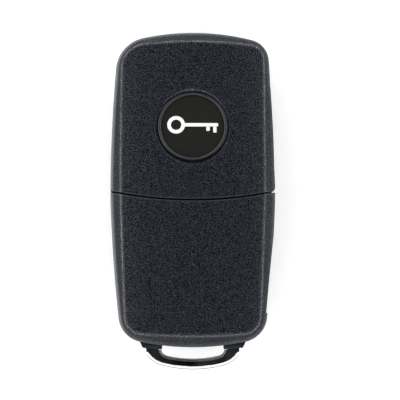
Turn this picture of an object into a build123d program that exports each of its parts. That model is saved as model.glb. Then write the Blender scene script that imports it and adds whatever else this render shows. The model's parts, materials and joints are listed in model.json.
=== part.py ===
from build123d import *
import os
from math import asin, cos, degrees, radians, sin, sqrt, tan

# Flip key remote for a car, lying on its button side with the badge side up.
# It comes apart in two units that meet at a curved parting line: the head, which holds the
# folding blade, its drum and its release button, and the remote, which holds the circuit
# board, three buttons, the key ring loop and, under its own cover, the coin cell.
# Millimetres. X is the width, +Y runs from the loop to the head, +Z is up, out of the back.
# The origin is under the middle of the overall length, on the plane of the front face.

# Case in plan
case_width = 36.6  # at the waist, just above the parting line
head_length = 37.6  # parting line to the top of the head
remote_length = 32.3  # parting line to the bottom end of the remote
loop_reach = 4.7  # how far the key ring loop stands out of the remote
top_bow_radius = 54.0
bottom_bow_radius = 56.0
head_side_radius = 340.0
remote_side_radius = 340.0
remote_lean = 1.75  # degrees, how sharply the sides turn in below the waist
waist_rise = 0.9  # waist above the parting line
head_corner_radius = 7.6
drum_corner_radius = 5.0  # the squarer corner of the head, over the drum
remote_corner_radius = 6.0
waist_round_radius = 100.0

# Case in section
case_depth = 15.6  # front face to the top of the crown
wall = 1.5
front_shoulder_z = 4.4
shoulder_below_crown = 5.4  # back shoulder below the top of the crown
front_taper = 36.0  # degrees from the vertical
back_taper = 36.0
crown_radius_across = 60.0
crown_radius_along = 260.0
crown_top_shift = 2.0  # highest point of the crown above the parting line
crown_margin = 0.2  # tapered block above the crown that cuts it, clear of its corners' tips
ridge_round = 1.5
shoulder_round = 2.5
front_edge_round = 1.0

# Joints between the mouldings
parting_radius = 81.0
parting_gap = 0.22
parting_edge_round = 0.15
seam = 0.1
tongue_depth = 0.9
tongue_clearance = 0.06
tongue_stop = 0.15
pry_notch_depth = 1.2
pry_notch_height = 1.6  # a millimetre outside the case

# Blade, drum and the slot that they swing in
pivot_from_top = 9.7
pivot_from_side = 8.8
drum_radius = 6.6
drum_clearance = 0.15
drum_bottom_z = 5.1
drum_below_crown = 5.3
drum_end_gap = 0.1
drum_edge = 0.25
drum_boss_wall = 0.8  # boss over the drum in the back moulding
drum_bore_radius = 2.75
journal_radius = 4.0
journal_clearance = 0.05
journal_height = 1.0
journal_end_gap = 0.15
blade_width = 8.6
blade_thickness = 3.0
blade_offset = 2.3  # blade's middle line from the pivot
blade_reach = 51.9  # pivot to tip
blade_shoulder = 3.6  # blade's square end below the pivot
blade_tip_length = 4.6
blade_tip_width = 3.4
blade_tip_round = 0.8
blade_edge = 0.2
slot_side_gap = 0.35
slot_face_gap = 0.3
slot_end_gap = 0.7
slot_wall = 1.0
tang_width = 2.6
tang_rise = 2.6  # tang's end above the pivot
tang_inset = 0.7  # tang's outer edge inside the drum
pin_radius = 0.75
pin_rise = 0.9
pin_end_inset = 0.25
track_width = 3.2  # milled track in each face of the blade
track_depth = 0.85
track_start = 9.0  # from the pivot
track_end_margin = 2.6
track_pitch = 3.4
track_steps = (0.0, 0.8, 0.2, 1.1, 0.5, 1.1, 0.3, 0.8, 0.1, 0.7, 0.4, 0.0)

# Release button in the front face of the head
release_cap_radius = 4.2
release_gap = 0.25
release_dish_radius = 5.2
release_dish_depth = 0.5
release_proud = 0.2  # cap above the floor of its dish
release_hollow_radius = 22.0
release_hollow_depth = 0.3
release_edge_round = 0.3
release_flange_radius = 4.8
release_flange_gap = 0.05
release_flange_thickness = 0.9
release_guide_gap = 0.15
release_travel = 1.5
release_over_travel = 0.1
stem_radius = 2.6
stem_below_drum = 2.3  # stem's end below the top of the drum
lug_width = 1.4
lug_reach = 0.6
lug_gap = 0.1
spring_wire_radius = 0.25
spring_radius = 2.2
spring_turns = 3.0
spring_end_gap = 0.05

# Badge in the back of the head, with the head's screw under it
badge_from_parting = 16.1
badge_floor_radius = 7.4
badge_recess_slope = 45.0  # degrees from the vertical
badge_rim_round = 0.2
badge_recess_depth = 1.28
recess_seam_turn = 100.0  # degrees, where the recess's own seam line lies
badge_radius = 7.05
badge_thickness = 0.5
badge_edge_round = 0.12
badge_drop = 0.25  # badge below the middle of its recess
badge_pad_thickness = 1.2  # where it is thinnest
badge_pad_margin = 1.6
boss_radius = 2.4
screw_radius = 1.0
screw_head_radius = 1.9
screw_length = 8.5
screw_sink = 0.6  # head below the recess floor
screw_hole_gap = 0.15
screw_thread_gap = 0.02
screw_end_room = 1.0
cross_slot_width = 0.45
cross_slot_depth = 0.6

# Transponder capsule in its cradle
capsule_radius = 1.05
capsule_length = 12.0
capsule_from_side = 7.8
capsule_above_parting = 19.0
cradle_width = 4.2
cradle_wall = 0.8
cradle_gap = 0.02

# Arms of the head that hold the remote
arm_length = 9.0
arm_width = 2.0
arm_height = 1.6
arm_above_board = 0.4
arm_from_side = 3.8  # left arm
arm_from_slot = 2.75  # right arm
arm_gap = 0.15
arm_lead = 0.4

# Button panel in the front face of the remote
panel_width = 19.6
panel_height = 25.2
panel_corner = 5.0
panel_depth = 0.8
panel_wall = 1.2
panel_margin = 1.2
panel_below_parting = 2.5  # parting line to the panel's upper edge
button_width = 14.0
button_height = 5.8
button_corner = 2.7
button_gap = 0.2
button_pitch = 7.1
first_button_below = 9.4  # parting line to the middle of the upper button
button_proud = 0.35
button_edge_round = 0.4
button_flange = 0.55
button_flange_gap = 0.05
button_flange_thickness = 0.6
button_travel = 0.5

# Silicone mat and what it presses
mat_base = 0.5
mat_gap = 0.1
mat_skirt_side = 0.9
mat_skirt_end = 0.5
mat_skirt_gap = 0.15
mat_foot_gap = 0.02
mat_post_radius = 1.2
mat_post_height = 0.2
switch_gap = 0.05
switch_size = 4.5
switch_height = 1.2
switch_corner = 0.4
plunger_radius = 0.9
plunger_height = 0.3

# Circuit board and what is soldered to it
board_thickness = 1.0
board_left_gap = 0.6
board_right_gap = 0.25
board_top_below = 2.2
board_bottom_below = 28.0
board_tab_width = 8.0
board_tab_length = 2.3
post_radius = 1.1
post_pin_radius = 0.6
post_pin_height = 1.2
post_pin_gap = 0.1
side_posts = ((5.9, 6.0), (5.7, 25.0))  # from the left side, below the parting line
inner_posts = ((7.15, 29.3), (2.75, 3.9))  # from the slot, below the parting line
chip_size = (5.0, 6.4, 1.2)
chip_place = (-9.6, 20.0)
crystal_size = (4.8, 2.8, 1.1)
crystal_place = (-8.4, 25.8)
crystal_corner = 1.2
coil_size = (3.4, 8.0, 1.7)
coil_place = (1.8, 21.4)
coil_flange = 0.9
led_below = 3.7
led_size = (1.6, 1.2, 0.8)
lens_radius = 0.9
lens_flange_radius = 1.45
lens_flange_thickness = 0.5
lens_gap = 0.04

# Coin cell, its cradle in the cover, and its contacts
cell_radius = 10.0
cell_below_crown = 4.2
cell_x = -4.1
cell_below = 13.0
cell_bottom_z = 8.2
cell_gap = 0.15
cell_cap_radius = 8.7
cell_cap_height = 0.7
cell_edge_round = 0.3
cell_top_gap = 0.05
cradle_ring = 1.0
cradle_seat = 1.25
cradle_opening = 7.0
contact_thickness = 0.2
contact_width = 3.0
contact_clearance = 0.08
contact_foot = 2.4
contact_rise_run = 3.4
contact_flat = 3.6
clip_width = 4.0
clip_below_cell = 1.2  # clip's end below the top of the cell
clip_foot = 2.0
clip_gap = 0.1

# Key ring loop
loop_thickness = 3.0
loop_below_seam = 2.5  # loop's middle below the seam between the mouldings
loop_half_width = 11.0  # outer side, where it leaves its sockets
loop_side_slope = 33.0  # degrees that the sides turn in
loop_bow_radius = 27.0
loop_corner_radius = 6.0
loop_hole_half_width = 6.95
loop_band = 2.0
loop_hole_corner = 1.7
loop_edge = 0.45
loop_ear_gap = 0.08
loop_tang_depth = 2.6
tang_inner_x = 7.6
tang_outer_x = 10.3
ear_inner_reach = 0.5  # ears below the remote's bottom end, at the hole
ear_outer_reach = 0.1  # and at the sides
ear_inner_x = 6.8
ear_outer_x = 11.1
ear_flare = 0.6
ear_margin = 0.8
ear_corner = 0.35
ear_gap = 0.03
loop_pin_radius = 0.6
loop_pin_x = 8.9
loop_pin_above = 1.7  # above the remote's bottom end
loop_pin_overlap = 0.7  # pin's ends past the loop's faces

# Relief beside the blade, in the remote and in the back of the head
relief_start_below = 7.0
relief_depth_back = 0.45
relief_depth_front = 0.2
head_relief_depth = 0.3
head_relief_above = 3.0  # parting line to the relief in the head

# Places that follow from the sizes above
beyond = 10.0  # how far a cutting tool runs past what it cuts
half_width = case_width / 2
overall_length = head_length + remote_length + loop_reach
top_y = overall_length / 2
parting_y = top_y - head_length
bottom_y = parting_y - remote_length
waist_y = parting_y + waist_rise
crown_y = parting_y + crown_top_shift
pivot_x = half_width - pivot_from_side
pivot_y = top_y - pivot_from_top
drum_top_z = case_depth - drum_below_crown
blade_z = (drum_bottom_z + drum_top_z) / 2
split_z = blade_z + blade_thickness / 2 + slot_face_gap  # seam between the mouldings
front_top_z = split_z - seam / 2
back_bottom_z = split_z + seam / 2
back_shoulder_z = case_depth - shoulder_below_crown
badge_y = parting_y + badge_from_parting
folded_x = pivot_x + blade_offset  # blade's middle line when folded
open_x = pivot_x - blade_offset
slot_floor_z = blade_z - blade_thickness / 2 - slot_face_gap
slot_left_x = folded_x - blade_width / 2 - slot_side_gap
slot_left_open_x = open_x - blade_width / 2 - slot_side_gap
blade_tip_y = pivot_y - blade_reach
slot_end_y = blade_tip_y - slot_end_gap
drum_pocket_radius = drum_radius + drum_clearance
drum_ledge_z = drum_bottom_z - drum_end_gap
lower_journal_z = drum_bottom_z - journal_height
upper_journal_z = drum_top_z + journal_height
bearing_radius = journal_radius + journal_clearance
upper_bore_z = upper_journal_z + journal_end_gap
release_face_z = release_dish_depth - release_proud
release_flange_z = wall + release_flange_gap
stem_base_z = release_flange_z + release_flange_thickness
guide_top_z = stem_base_z + release_travel + release_over_travel
guide_radius = release_flange_radius + release_guide_gap
stem_top_z = drum_top_z - stem_below_drum
capsule_x = capsule_from_side - half_width
capsule_y = parting_y + capsule_above_parting
cradle_top_z = wall + cradle_wall + capsule_radius
panel_floor_z = panel_depth + panel_wall
panel_y = parting_y - panel_below_parting - panel_height / 2
button_ys = [parting_y - first_button_below - i * button_pitch for i in range(3)]
button_face_z = panel_depth - button_proud
flange_z = panel_floor_z + button_flange_gap
mat_z = flange_z + button_flange_thickness + mat_gap
mat_top_z = mat_z + mat_base
plunger_z = mat_top_z + mat_post_height + switch_gap
board_z = plunger_z + plunger_height + switch_height
board_top_z = board_z + board_thickness
board_right_x = slot_left_x - slot_wall - board_right_gap
arm_z = board_top_z + arm_above_board + arm_height / 2
arm_places = (arm_from_side - half_width, slot_left_x - arm_from_slot)
post_places = [(x - half_width, below) for x, below in side_posts]
post_places += [(slot_left_x - x, below) for x, below in inner_posts]
led_y = parting_y - led_below
cell_y = parting_y - cell_below
cell_top_z = case_depth - cell_below_crown
cell_thickness = cell_top_z - cell_bottom_z
clip_height = cell_top_z - clip_below_cell - board_top_z
loop_z = split_z - loop_below_seam
loop_bottom_z = loop_z - loop_thickness / 2
loop_top_z = loop_z + loop_thickness / 2
loop_end_y = bottom_y - loop_reach
ear_inner_y = bottom_y - ear_inner_reach
ear_outer_y = bottom_y - ear_outer_reach
loop_pin_y = bottom_y + loop_pin_above
loop_pin_bottom_z = loop_bottom_z - loop_pin_overlap
loop_pin_top_z = loop_top_z + loop_pin_overlap


def case_outline(inset=0.0):
    """Plan of the case pulled in by inset: six discs in common, with rounded corners."""
    lean = radians(remote_lean)
    remote_disc_x = half_width - remote_side_radius * cos(lean)
    remote_disc_y = waist_y + remote_side_radius * sin(lean)
    head_disc_x = half_width - head_side_radius
    with BuildSketch(mode=Mode.PRIVATE) as plan:
        with Locations((0, top_y - top_bow_radius)):
            Circle(top_bow_radius - inset)
        with Locations((0, bottom_y + bottom_bow_radius)):
            Circle(bottom_bow_radius - inset, mode=Mode.INTERSECT)
        for side in (1, -1):
            with Locations((side * head_disc_x, waist_y)):
                Circle(head_side_radius - inset, mode=Mode.INTERSECT)
            with Locations((side * remote_disc_x, remote_disc_y)):
                Circle(remote_side_radius - inset, mode=Mode.INTERSECT)
        fillet(plan.vertices().sort_by(Axis.Y)[-2:].sort_by(Axis.X)[0], head_corner_radius - inset)
        right = plan.vertices().filter_by(lambda v: v.X > 0)
        fillet(right.sort_by(Axis.Y)[-1], drum_corner_radius - inset)
        fillet(plan.vertices().sort_by(Axis.Y)[:2], remote_corner_radius - inset)
        waist = plan.vertices().filter_by(lambda v: abs(v.Y - waist_y) < waist_rise / 2)
        fillet(waist, waist_round_radius - inset)
    return plan.sketch


def raised(plan, start_z, end_z):
    """A sketch raised from one height to another."""
    with BuildPart(mode=Mode.PRIVATE) as block:
        with BuildSketch(Plane.XY.offset(start_z)):
            add(plan)
        extrude(amount=end_z - start_z)
    return block.part


def disc(x, y, radius):
    """A round sketch at a place."""
    with BuildSketch(mode=Mode.PRIVATE) as plan:
        with Locations((x, y)):
            Circle(radius)
    return plan.sketch


def plate(low_x, high_x, low_y, high_y):
    """A rectangular sketch between two corners."""
    with BuildSketch(mode=Mode.PRIVATE) as plan:
        with Locations(((low_x + high_x) / 2, (low_y + high_y) / 2)):
            Rectangle(high_x - low_x, high_y - low_y)
    return plan.sketch


def shoulder_block(plan, start_z, end_z, taper):
    """The outline raised from start_z to end_z, its sides leaning in by taper."""
    lean = taper if end_z > start_z else -taper
    with BuildPart(mode=Mode.PRIVATE) as block:
        with BuildSketch(Plane.XY.offset(start_z)):
            add(plan)
        extrude(amount=end_z - start_z)
        sides = block.faces().filter_by(GeomType.CYLINDER)
        draft(sides, Plane.XY.offset(start_z), lean)
    return block.part


def crown_barrel(inset=0.0):
    """A barrel whose upper face is the doubly curved back of the case."""
    across = crown_radius_across - inset
    along = crown_radius_along - inset
    axis_z = case_depth - crown_radius_along
    half = half_width + beyond / 2
    deep = along - 2 * case_depth
    swing = degrees(asin((overall_length / 2 + beyond) / along))
    edge = along - across + sqrt(across**2 - half**2)
    turned = Plane(
        origin=(0, crown_y, axis_z),
        x_dir=(1, 0, 0),
        z_dir=(0, -cos(radians(swing)), -sin(radians(swing))),
    )
    with BuildPart(mode=Mode.PRIVATE) as barrel:
        with BuildSketch(turned):
            with BuildLine():
                ThreePointArc((-half, edge), (0, along), (half, edge))
                Polyline((half, edge), (half, deep), (-half, deep), (-half, edge))
            make_face()
        revolve(axis=Axis((0, crown_y, axis_z), (-1, 0, 0)), revolution_arc=2 * swing)
    return barrel.part


def flat_edges(builder, level):
    """The edges that lie flat at one height."""
    return builder.edges().filter_by(
        lambda e: abs(e.bounding_box().min.Z - level) < 1e-3
        and abs(e.bounding_box().max.Z - level) < 1e-3
    )


def case_form(inset=0.0, rounded=False):
    """The whole case as one block, pulled in by inset, with its edges rounded or sharp."""
    plan = case_outline(inset)
    back = shoulder_block(plan, back_shoulder_z, case_depth - inset + crown_margin, back_taper)
    front = shoulder_block(plan, front_shoulder_z, inset, front_taper)
    crown = crown_barrel(inset)
    with BuildPart(mode=Mode.PRIVATE) as form:
        with BuildSketch(Plane.XY.offset(front_shoulder_z)):
            add(plan)
        extrude(amount=back_shoulder_z - front_shoulder_z)
        add(back)
        add(front)
        add(crown, mode=Mode.INTERSECT)
        if rounded:
            for level in (back_shoulder_z, front_shoulder_z):
                fillet(flat_edges(form, level), shoulder_round)
            fillet(form.faces().filter_by(GeomType.TORUS).edges(), ridge_round)
            fillet(flat_edges(form, 0), front_edge_round)
    return form.part


def parting_cylinder(radius):
    """Upright cylinder about the centre of the curved parting line."""
    return raised(disc(0, parting_y + parting_radius, radius), -beyond, case_depth + beyond)


def parting_line_y(x):
    """Height in Y of the parting line at x."""
    return parting_y + parting_radius - sqrt(parting_radius**2 - x**2)


def parting_edges(builder, radius):
    """The edges of a unit where its parting face meets the outside of the case."""
    round_faces = builder.faces().filter_by(GeomType.CYLINDER)
    return round_faces.filter_by(lambda f: abs(f.radius - radius) < 1e-3).edges()


def slot_plan(grow=0.0):
    """Plan of the room that the blade needs, folded, swinging and open."""
    low_y = slot_end_y - grow
    with BuildSketch(mode=Mode.PRIVATE) as plan:
        add(plate(slot_left_x - grow, case_width, low_y, pivot_y))
        add(plate(slot_left_open_x - grow, case_width, pivot_y, top_y + beyond))
        add(disc(pivot_x, pivot_y, drum_pocket_radius + grow))
    return plan.sketch


def save(part, name):
    """Labels a finished piece and writes it to its own file."""
    part.label = name
    export_step(part, f"parts/{name}.step")
    print(name, part.is_valid, len(part.solids()), round(part.volume, 1))


os.makedirs("parts", exist_ok=True)

# The two units as blocks, and the rooms inside them
outer_form = case_form(0.0, rounded=True)
inner_form = case_form(wall)
head_cylinder = parting_cylinder(parting_radius - parting_gap / 2)
head_room_cylinder = parting_cylinder(parting_radius - parting_gap / 2 - wall)
head_tongue_cylinder = parting_cylinder(parting_radius - parting_gap / 2 - wall - tongue_stop)
remote_cylinder = parting_cylinder(parting_radius + parting_gap / 2)
remote_room_cylinder = parting_cylinder(parting_radius + parting_gap / 2 + wall)
remote_tongue_cylinder = parting_cylinder(parting_radius + parting_gap / 2 + wall + tongue_stop)
slot_room = raised(slot_plan(), slot_floor_z, back_bottom_z)
slot_tray = raised(slot_plan(slot_wall), slot_floor_z - slot_wall, front_top_z)
slot_lid = raised(slot_plan(slot_wall), back_bottom_z, back_bottom_z + slot_wall)
slot_clear = raised(slot_plan(slot_wall + tongue_stop), slot_floor_z - slot_wall, back_bottom_z)
outside_rebate = case_outline(wall / 2)
rebate_block = raised(outside_rebate, front_top_z - tongue_depth - tongue_clearance, case_depth)
tongue_outer = case_outline(wall / 2 + tongue_clearance)
tongue_inner = case_outline(wall)

with BuildPart() as pry_notch:
    with BuildSketch(Plane.XY.offset(-beyond)):
        with BuildLine():
            Polyline(
                (half_width - pry_notch_depth, parting_line_y(half_width - pry_notch_depth)),
                (half_width + 1, parting_line_y(half_width) + pry_notch_height),
                (half_width + 1, parting_line_y(half_width) - parting_gap),
                close=True,
            )
        make_face()
    extrude(amount=case_depth + 2 * beyond)

with BuildPart() as head_outer:
    add(outer_form)
    add(head_cylinder, mode=Mode.INTERSECT)
    fillet(parting_edges(head_outer, parting_radius - parting_gap / 2), parting_edge_round)
    add(pry_notch.part, mode=Mode.SUBTRACT)

with BuildPart() as head_room:
    add(inner_form)
    add(head_room_cylinder, mode=Mode.INTERSECT)

with BuildPart() as remote_outer:
    add(outer_form)
    add(remote_cylinder, mode=Mode.SUBTRACT)
    fillet(parting_edges(remote_outer, parting_radius + parting_gap / 2), parting_edge_round)

with BuildPart() as remote_room:
    add(inner_form)
    add(remote_room_cylinder, mode=Mode.SUBTRACT)

# Head, front moulding: floor and wall of the slot, bearing of the drum, guide of the release
# button, screw boss, transponder cradle and the two arms that hold the remote
capsule_half = capsule_length / 2 + cradle_wall
with BuildPart() as head_front_inside:
    add(slot_tray)
    add(raised(disc(pivot_x, pivot_y, drum_pocket_radius + slot_wall), wall / 2, slot_floor_z))
    add(raised(disc(0, badge_y, boss_radius), wall / 2, front_top_z))
    add(
        raised(
            plate(
                capsule_x - cradle_width / 2,
                capsule_x + cradle_width / 2,
                capsule_y - capsule_half,
                capsule_y + capsule_half,
            ),
            wall / 2,
            cradle_top_z,
        )
    )
    add(head_outer.part, mode=Mode.INTERSECT)

with BuildPart() as transponder_capsule:
    with Locations(Location((capsule_x, capsule_y, cradle_top_z), (90, 0, 0))):
        Cylinder(capsule_radius, capsule_length)
    fillet(transponder_capsule.edges().filter_by(GeomType.CIRCLE), capsule_radius * 0.9)

with BuildPart() as capsule_pocket:
    with Locations(Location((capsule_x, capsule_y, cradle_top_z), (90, 0, 0))):
        Cylinder(capsule_radius + cradle_gap, capsule_length + 2 * cradle_gap)

with BuildPart() as head_rebate:
    add(rebate_block)
    add(head_room_cylinder, mode=Mode.INTERSECT)

screw_head_z = case_depth - badge_recess_depth - screw_sink
with BuildPart() as release_cuts:
    add(raised(disc(pivot_x, pivot_y, release_dish_radius), -1, release_dish_depth))
    add(raised(disc(pivot_x, pivot_y, release_cap_radius + release_gap), -1, wall))
    add(raised(disc(pivot_x, pivot_y, guide_radius), wall, guide_top_z))
    add(raised(disc(pivot_x, pivot_y, bearing_radius), guide_top_z, drum_ledge_z))
    add(raised(disc(pivot_x, pivot_y, drum_pocket_radius), drum_ledge_z, back_bottom_z))
    for turn in (90, 180, 270):
        with Locations(Location((pivot_x, pivot_y, wall), (0, 0, turn))):
            Box(
                release_flange_radius + lug_reach + lug_gap,
                lug_width + 2 * lug_gap,
                guide_top_z - wall,
                align=(Align.MIN, Align.CENTER, Align.MIN),
            )

with BuildPart() as head_arms:
    for x in arm_places:
        root_y = parting_line_y(x) + parting_gap / 2 + wall
        tip_y = parting_y - arm_length
        with Locations((x, (root_y + tip_y) / 2, arm_z)):
            Box(arm_width, root_y - tip_y, arm_height)
    chamfer(head_arms.faces().group_by(Axis.Y)[0].edges(), arm_lead)

screw_tip_z = screw_head_z - screw_length
with BuildPart() as head_front_shell:
    add(head_outer.part)
    split(bisect_by=Plane.XY.offset(front_top_z), keep=Keep.BOTTOM)
    add(head_room.part, mode=Mode.SUBTRACT)
    add(head_rebate.part, mode=Mode.SUBTRACT)
    add(head_front_inside.part)
    add(slot_room, mode=Mode.SUBTRACT)
    add(release_cuts.part, mode=Mode.SUBTRACT)
    add(capsule_pocket.part, mode=Mode.SUBTRACT)
    with Locations((0, badge_y, screw_tip_z - screw_end_room)):
        Cylinder(
            screw_radius + screw_thread_gap,
            case_depth,
            align=(Align.CENTER, Align.CENTER, Align.MIN),
            mode=Mode.SUBTRACT,
        )
    add(head_arms.part)
save(head_front_shell.part, "head_front_shell")
save(transponder_capsule.part, "transponder_capsule")

# Head, back moulding: crown with the sloping badge recess, lid of the slot, upper bearing
badge_swing = asin((badge_y - crown_y) / crown_radius_along)
badge_surface = (
    0,
    badge_y,
    case_depth - crown_radius_along * (1 - cos(badge_swing)),
)
badge_plane = Plane(
    origin=badge_surface,
    x_dir=(1, 0, 0),
    z_dir=(0, sin(badge_swing), cos(badge_swing)),
)
recess_plane = badge_plane.offset(-badge_recess_depth)
recess_top_radius = badge_floor_radius + 2 * badge_recess_depth * tan(radians(badge_recess_slope))
with BuildPart() as badge_recess:
    with Locations(recess_plane.location * Location((0, 0, 0), (0, 0, recess_seam_turn))):
        Cone(
            badge_floor_radius,
            recess_top_radius,
            2 * badge_recess_depth,
            align=(Align.CENTER, Align.CENTER, Align.MIN),
        )


def recess_rim(builder):
    """The long edge where the badge's recess meets the crown."""
    cones = builder.faces().filter_by(GeomType.CONE)
    recess_wall = cones.sort_by(lambda f: f.bounding_box().max.Z)[-1]
    return recess_wall.edges().sort_by(SortBy.LENGTH)[-1]


badge_pad_radius = badge_floor_radius + badge_pad_margin
badge_pad_z = badge_surface[2] - badge_recess_depth - badge_pad_thickness
badge_pad_z -= badge_pad_radius * sin(badge_swing)
badge_pad = disc(0, badge_y, badge_pad_radius)
drum_boss = disc(pivot_x, pivot_y, drum_pocket_radius + drum_boss_wall)
with BuildPart() as head_back_room:
    add(head_room.part)
    add(slot_lid, mode=Mode.SUBTRACT)
    add(raised(badge_pad, badge_pad_z, case_depth), mode=Mode.SUBTRACT)
    add(raised(drum_boss, back_bottom_z, case_depth), mode=Mode.SUBTRACT)
    add(raised(disc(0, badge_y, boss_radius), back_bottom_z, case_depth), mode=Mode.SUBTRACT)

with BuildPart() as head_tongue:
    with BuildSketch(Plane.XY.offset(front_top_z - tongue_depth)):
        add(tongue_outer)
        add(tongue_inner, mode=Mode.SUBTRACT)
    extrude(amount=tongue_depth + seam + wall / 2)
    add(head_tongue_cylinder, mode=Mode.INTERSECT)
    add(slot_clear, mode=Mode.SUBTRACT)


def head_side_x(y):
    """Half width of the head at a height y, from the side's own arc."""
    return half_width - head_side_radius + sqrt(head_side_radius**2 - (y - waist_y) ** 2)


head_relief_low_y = parting_y + head_relief_above
head_relief_high_y = pivot_y + drum_radius / 2
head_relief_y = (head_relief_low_y + head_relief_high_y) / 2
with BuildPart() as head_relief:
    with BuildSketch(Plane.XY.offset(-beyond)):
        with BuildLine():
            ThreePointArc(
                (head_side_x(head_relief_low_y), head_relief_low_y),
                (head_side_x(head_relief_y) - head_relief_depth, head_relief_y),
                (head_side_x(head_relief_high_y), head_relief_high_y),
            )
            Polyline(
                (head_side_x(head_relief_high_y), head_relief_high_y),
                (half_width + beyond, head_relief_high_y),
                (half_width + beyond, head_relief_low_y),
                (head_side_x(head_relief_low_y), head_relief_low_y),
            )
        make_face()
    extrude(amount=case_depth + 2 * beyond)

head_room_top = raised(disc(pivot_x, pivot_y, drum_pocket_radius), 0, drum_top_z + drum_end_gap)
bearing_bore = raised(disc(pivot_x, pivot_y, bearing_radius), 0, upper_bore_z)
with BuildPart() as head_back_shell:
    add(head_outer.part)
    split(bisect_by=Plane.XY.offset(back_bottom_z), keep=Keep.TOP)
    add(head_back_room.part, mode=Mode.SUBTRACT)
    add(head_tongue.part)
    add(slot_room, mode=Mode.SUBTRACT)
    add(head_room_top, mode=Mode.SUBTRACT)
    add(bearing_bore, mode=Mode.SUBTRACT)
    add(badge_recess.part, mode=Mode.SUBTRACT)
    fillet(recess_rim(head_back_shell), badge_rim_round)
    with Locations((0, badge_y, 0)):
        Cylinder(
            screw_radius + screw_hole_gap,
            case_depth,
            align=(Align.CENTER, Align.CENTER, Align.MIN),
            mode=Mode.SUBTRACT,
        )
    with Locations((0, badge_y, screw_head_z)):
        Cylinder(
            screw_head_radius + screw_hole_gap,
            case_depth,
            align=(Align.CENTER, Align.CENTER, Align.MIN),
            mode=Mode.SUBTRACT,
        )
        Cone(
            screw_radius + screw_hole_gap,
            screw_head_radius + screw_hole_gap,
            screw_head_radius - screw_radius,
            align=(Align.CENTER, Align.CENTER, Align.MAX),
            mode=Mode.SUBTRACT,
        )
    add(head_relief.part, mode=Mode.SUBTRACT)
save(head_back_shell.part, "head_back_shell")

with BuildPart() as badge_disc:
    with Locations(recess_plane.location * Location((0, -badge_drop, 0))):
        Cylinder(badge_radius, badge_thickness, align=(Align.CENTER, Align.CENTER, Align.MIN))
    fillet(badge_disc.edges().group_by(Axis.Z)[-1], badge_edge_round)
save(badge_disc.part, "badge_disc")

with BuildPart() as head_screw:
    with Locations((0, badge_y, screw_head_z)):
        Cone(
            screw_radius,
            screw_head_radius,
            screw_head_radius - screw_radius,
            align=(Align.CENTER, Align.CENTER, Align.MAX),
        )
        Cylinder(screw_radius, screw_length, align=(Align.CENTER, Align.CENTER, Align.MAX))
    for turn in (0, 90):
        with Locations(Location((0, badge_y, screw_head_z), (0, 0, turn))):
            Box(
                2 * screw_radius,
                cross_slot_width,
                cross_slot_depth,
                align=(Align.CENTER, Align.CENTER, Align.MAX),
                mode=Mode.SUBTRACT,
            )
save(head_screw.part, "head_screw")

# Blade with its tang and the milled track in each face
blade_left = folded_x - blade_width / 2
blade_right = folded_x + blade_width / 2
tang_right = pivot_x + drum_radius - tang_inset
tang_left = tang_right - tang_width
track_ys = [pivot_y - track_start - i * track_pitch for i in range(len(track_steps))]
track_end_y = blade_tip_y + track_end_margin
with BuildPart() as key_blade:
    with BuildSketch(Plane.XY.offset(blade_z - blade_thickness / 2)):
        with BuildLine():
            Polyline(
                (blade_left, pivot_y - blade_shoulder),
                (blade_left, blade_tip_y + blade_tip_length),
                (folded_x - blade_tip_width / 2, blade_tip_y),
                (folded_x + blade_tip_width / 2, blade_tip_y),
                (blade_right, blade_tip_y + blade_tip_length),
                (blade_right, pivot_y - blade_shoulder),
                close=True,
            )
        outline_face = make_face()
        fillet(outline_face.vertices().sort_by(Axis.Y)[:4], blade_tip_round)
    extrude(amount=blade_thickness)
    chamfer(key_blade.edges().filter_by(Plane.XY), blade_edge)
    with BuildSketch(Plane.XY.offset(blade_z - blade_thickness / 2)):
        add(
            plate(
                tang_left,
                tang_right,
                pivot_y - blade_shoulder - 1,
                pivot_y + tang_rise,
            )
        )
    extrude(amount=blade_thickness)
    for side, face_z in ((1, blade_z + blade_thickness / 2), (-1, blade_z - blade_thickness / 2)):
        with BuildSketch(Plane.XY.offset(face_z)):
            with BuildLine():
                left = [
                    (folded_x - side * (track_width / 2 - step), y)
                    for step, y in zip(track_steps, track_ys)
                ]
                right = [
                    (folded_x + side * (track_width / 2 + step), y)
                    for step, y in zip(track_steps[::-1], track_ys)
                ]
                Spline(*left)
                Spline(*right)
                Line(left[0], right[0])
                Line(left[-1], right[-1])
            make_face()
        extrude(amount=-side * track_depth, mode=Mode.SUBTRACT)
    with Locations((tang_left + tang_width / 2, pivot_y + pin_rise, blade_z)):
        Cylinder(pin_radius, 2 * blade_thickness, mode=Mode.SUBTRACT)

pin_x = tang_left + tang_width / 2
pin_length = drum_top_z - drum_bottom_z - 2 * pin_end_inset
with BuildPart() as blade_pin:
    with Locations((pin_x, pivot_y + pin_rise, (drum_top_z + drum_bottom_z) / 2)):
        Cylinder(pin_radius, pin_length)
    chamfer(blade_pin.edges().filter_by(GeomType.CIRCLE), pin_radius / 4)

drum_middle_z = (drum_top_z + drum_bottom_z) / 2
with BuildPart() as blade_drum:
    with Locations((pivot_x, pivot_y, drum_middle_z)):
        Cylinder(drum_radius, drum_top_z - drum_bottom_z)
        chamfer(blade_drum.edges().filter_by(GeomType.CIRCLE), drum_edge)
        Cylinder(journal_radius, upper_journal_z - lower_journal_z)
        Cylinder(drum_bore_radius, 2 * case_depth, mode=Mode.SUBTRACT)
    with BuildSketch(Plane.XY.offset(blade_z - blade_thickness / 2)):
        add(plate(blade_left, case_width, slot_end_y, pivot_y - blade_shoulder))
        add(plate(tang_left, tang_right, pivot_y - blade_shoulder - 1, pivot_y + tang_rise))
    extrude(amount=blade_thickness, mode=Mode.SUBTRACT)
    with Locations((pin_x, pivot_y + pin_rise, drum_middle_z)):
        Cylinder(pin_radius, 2 * case_depth, mode=Mode.SUBTRACT)
save(key_blade.part, "key_blade")
save(blade_pin.part, "blade_pin")
save(blade_drum.part, "blade_drum")

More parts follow.
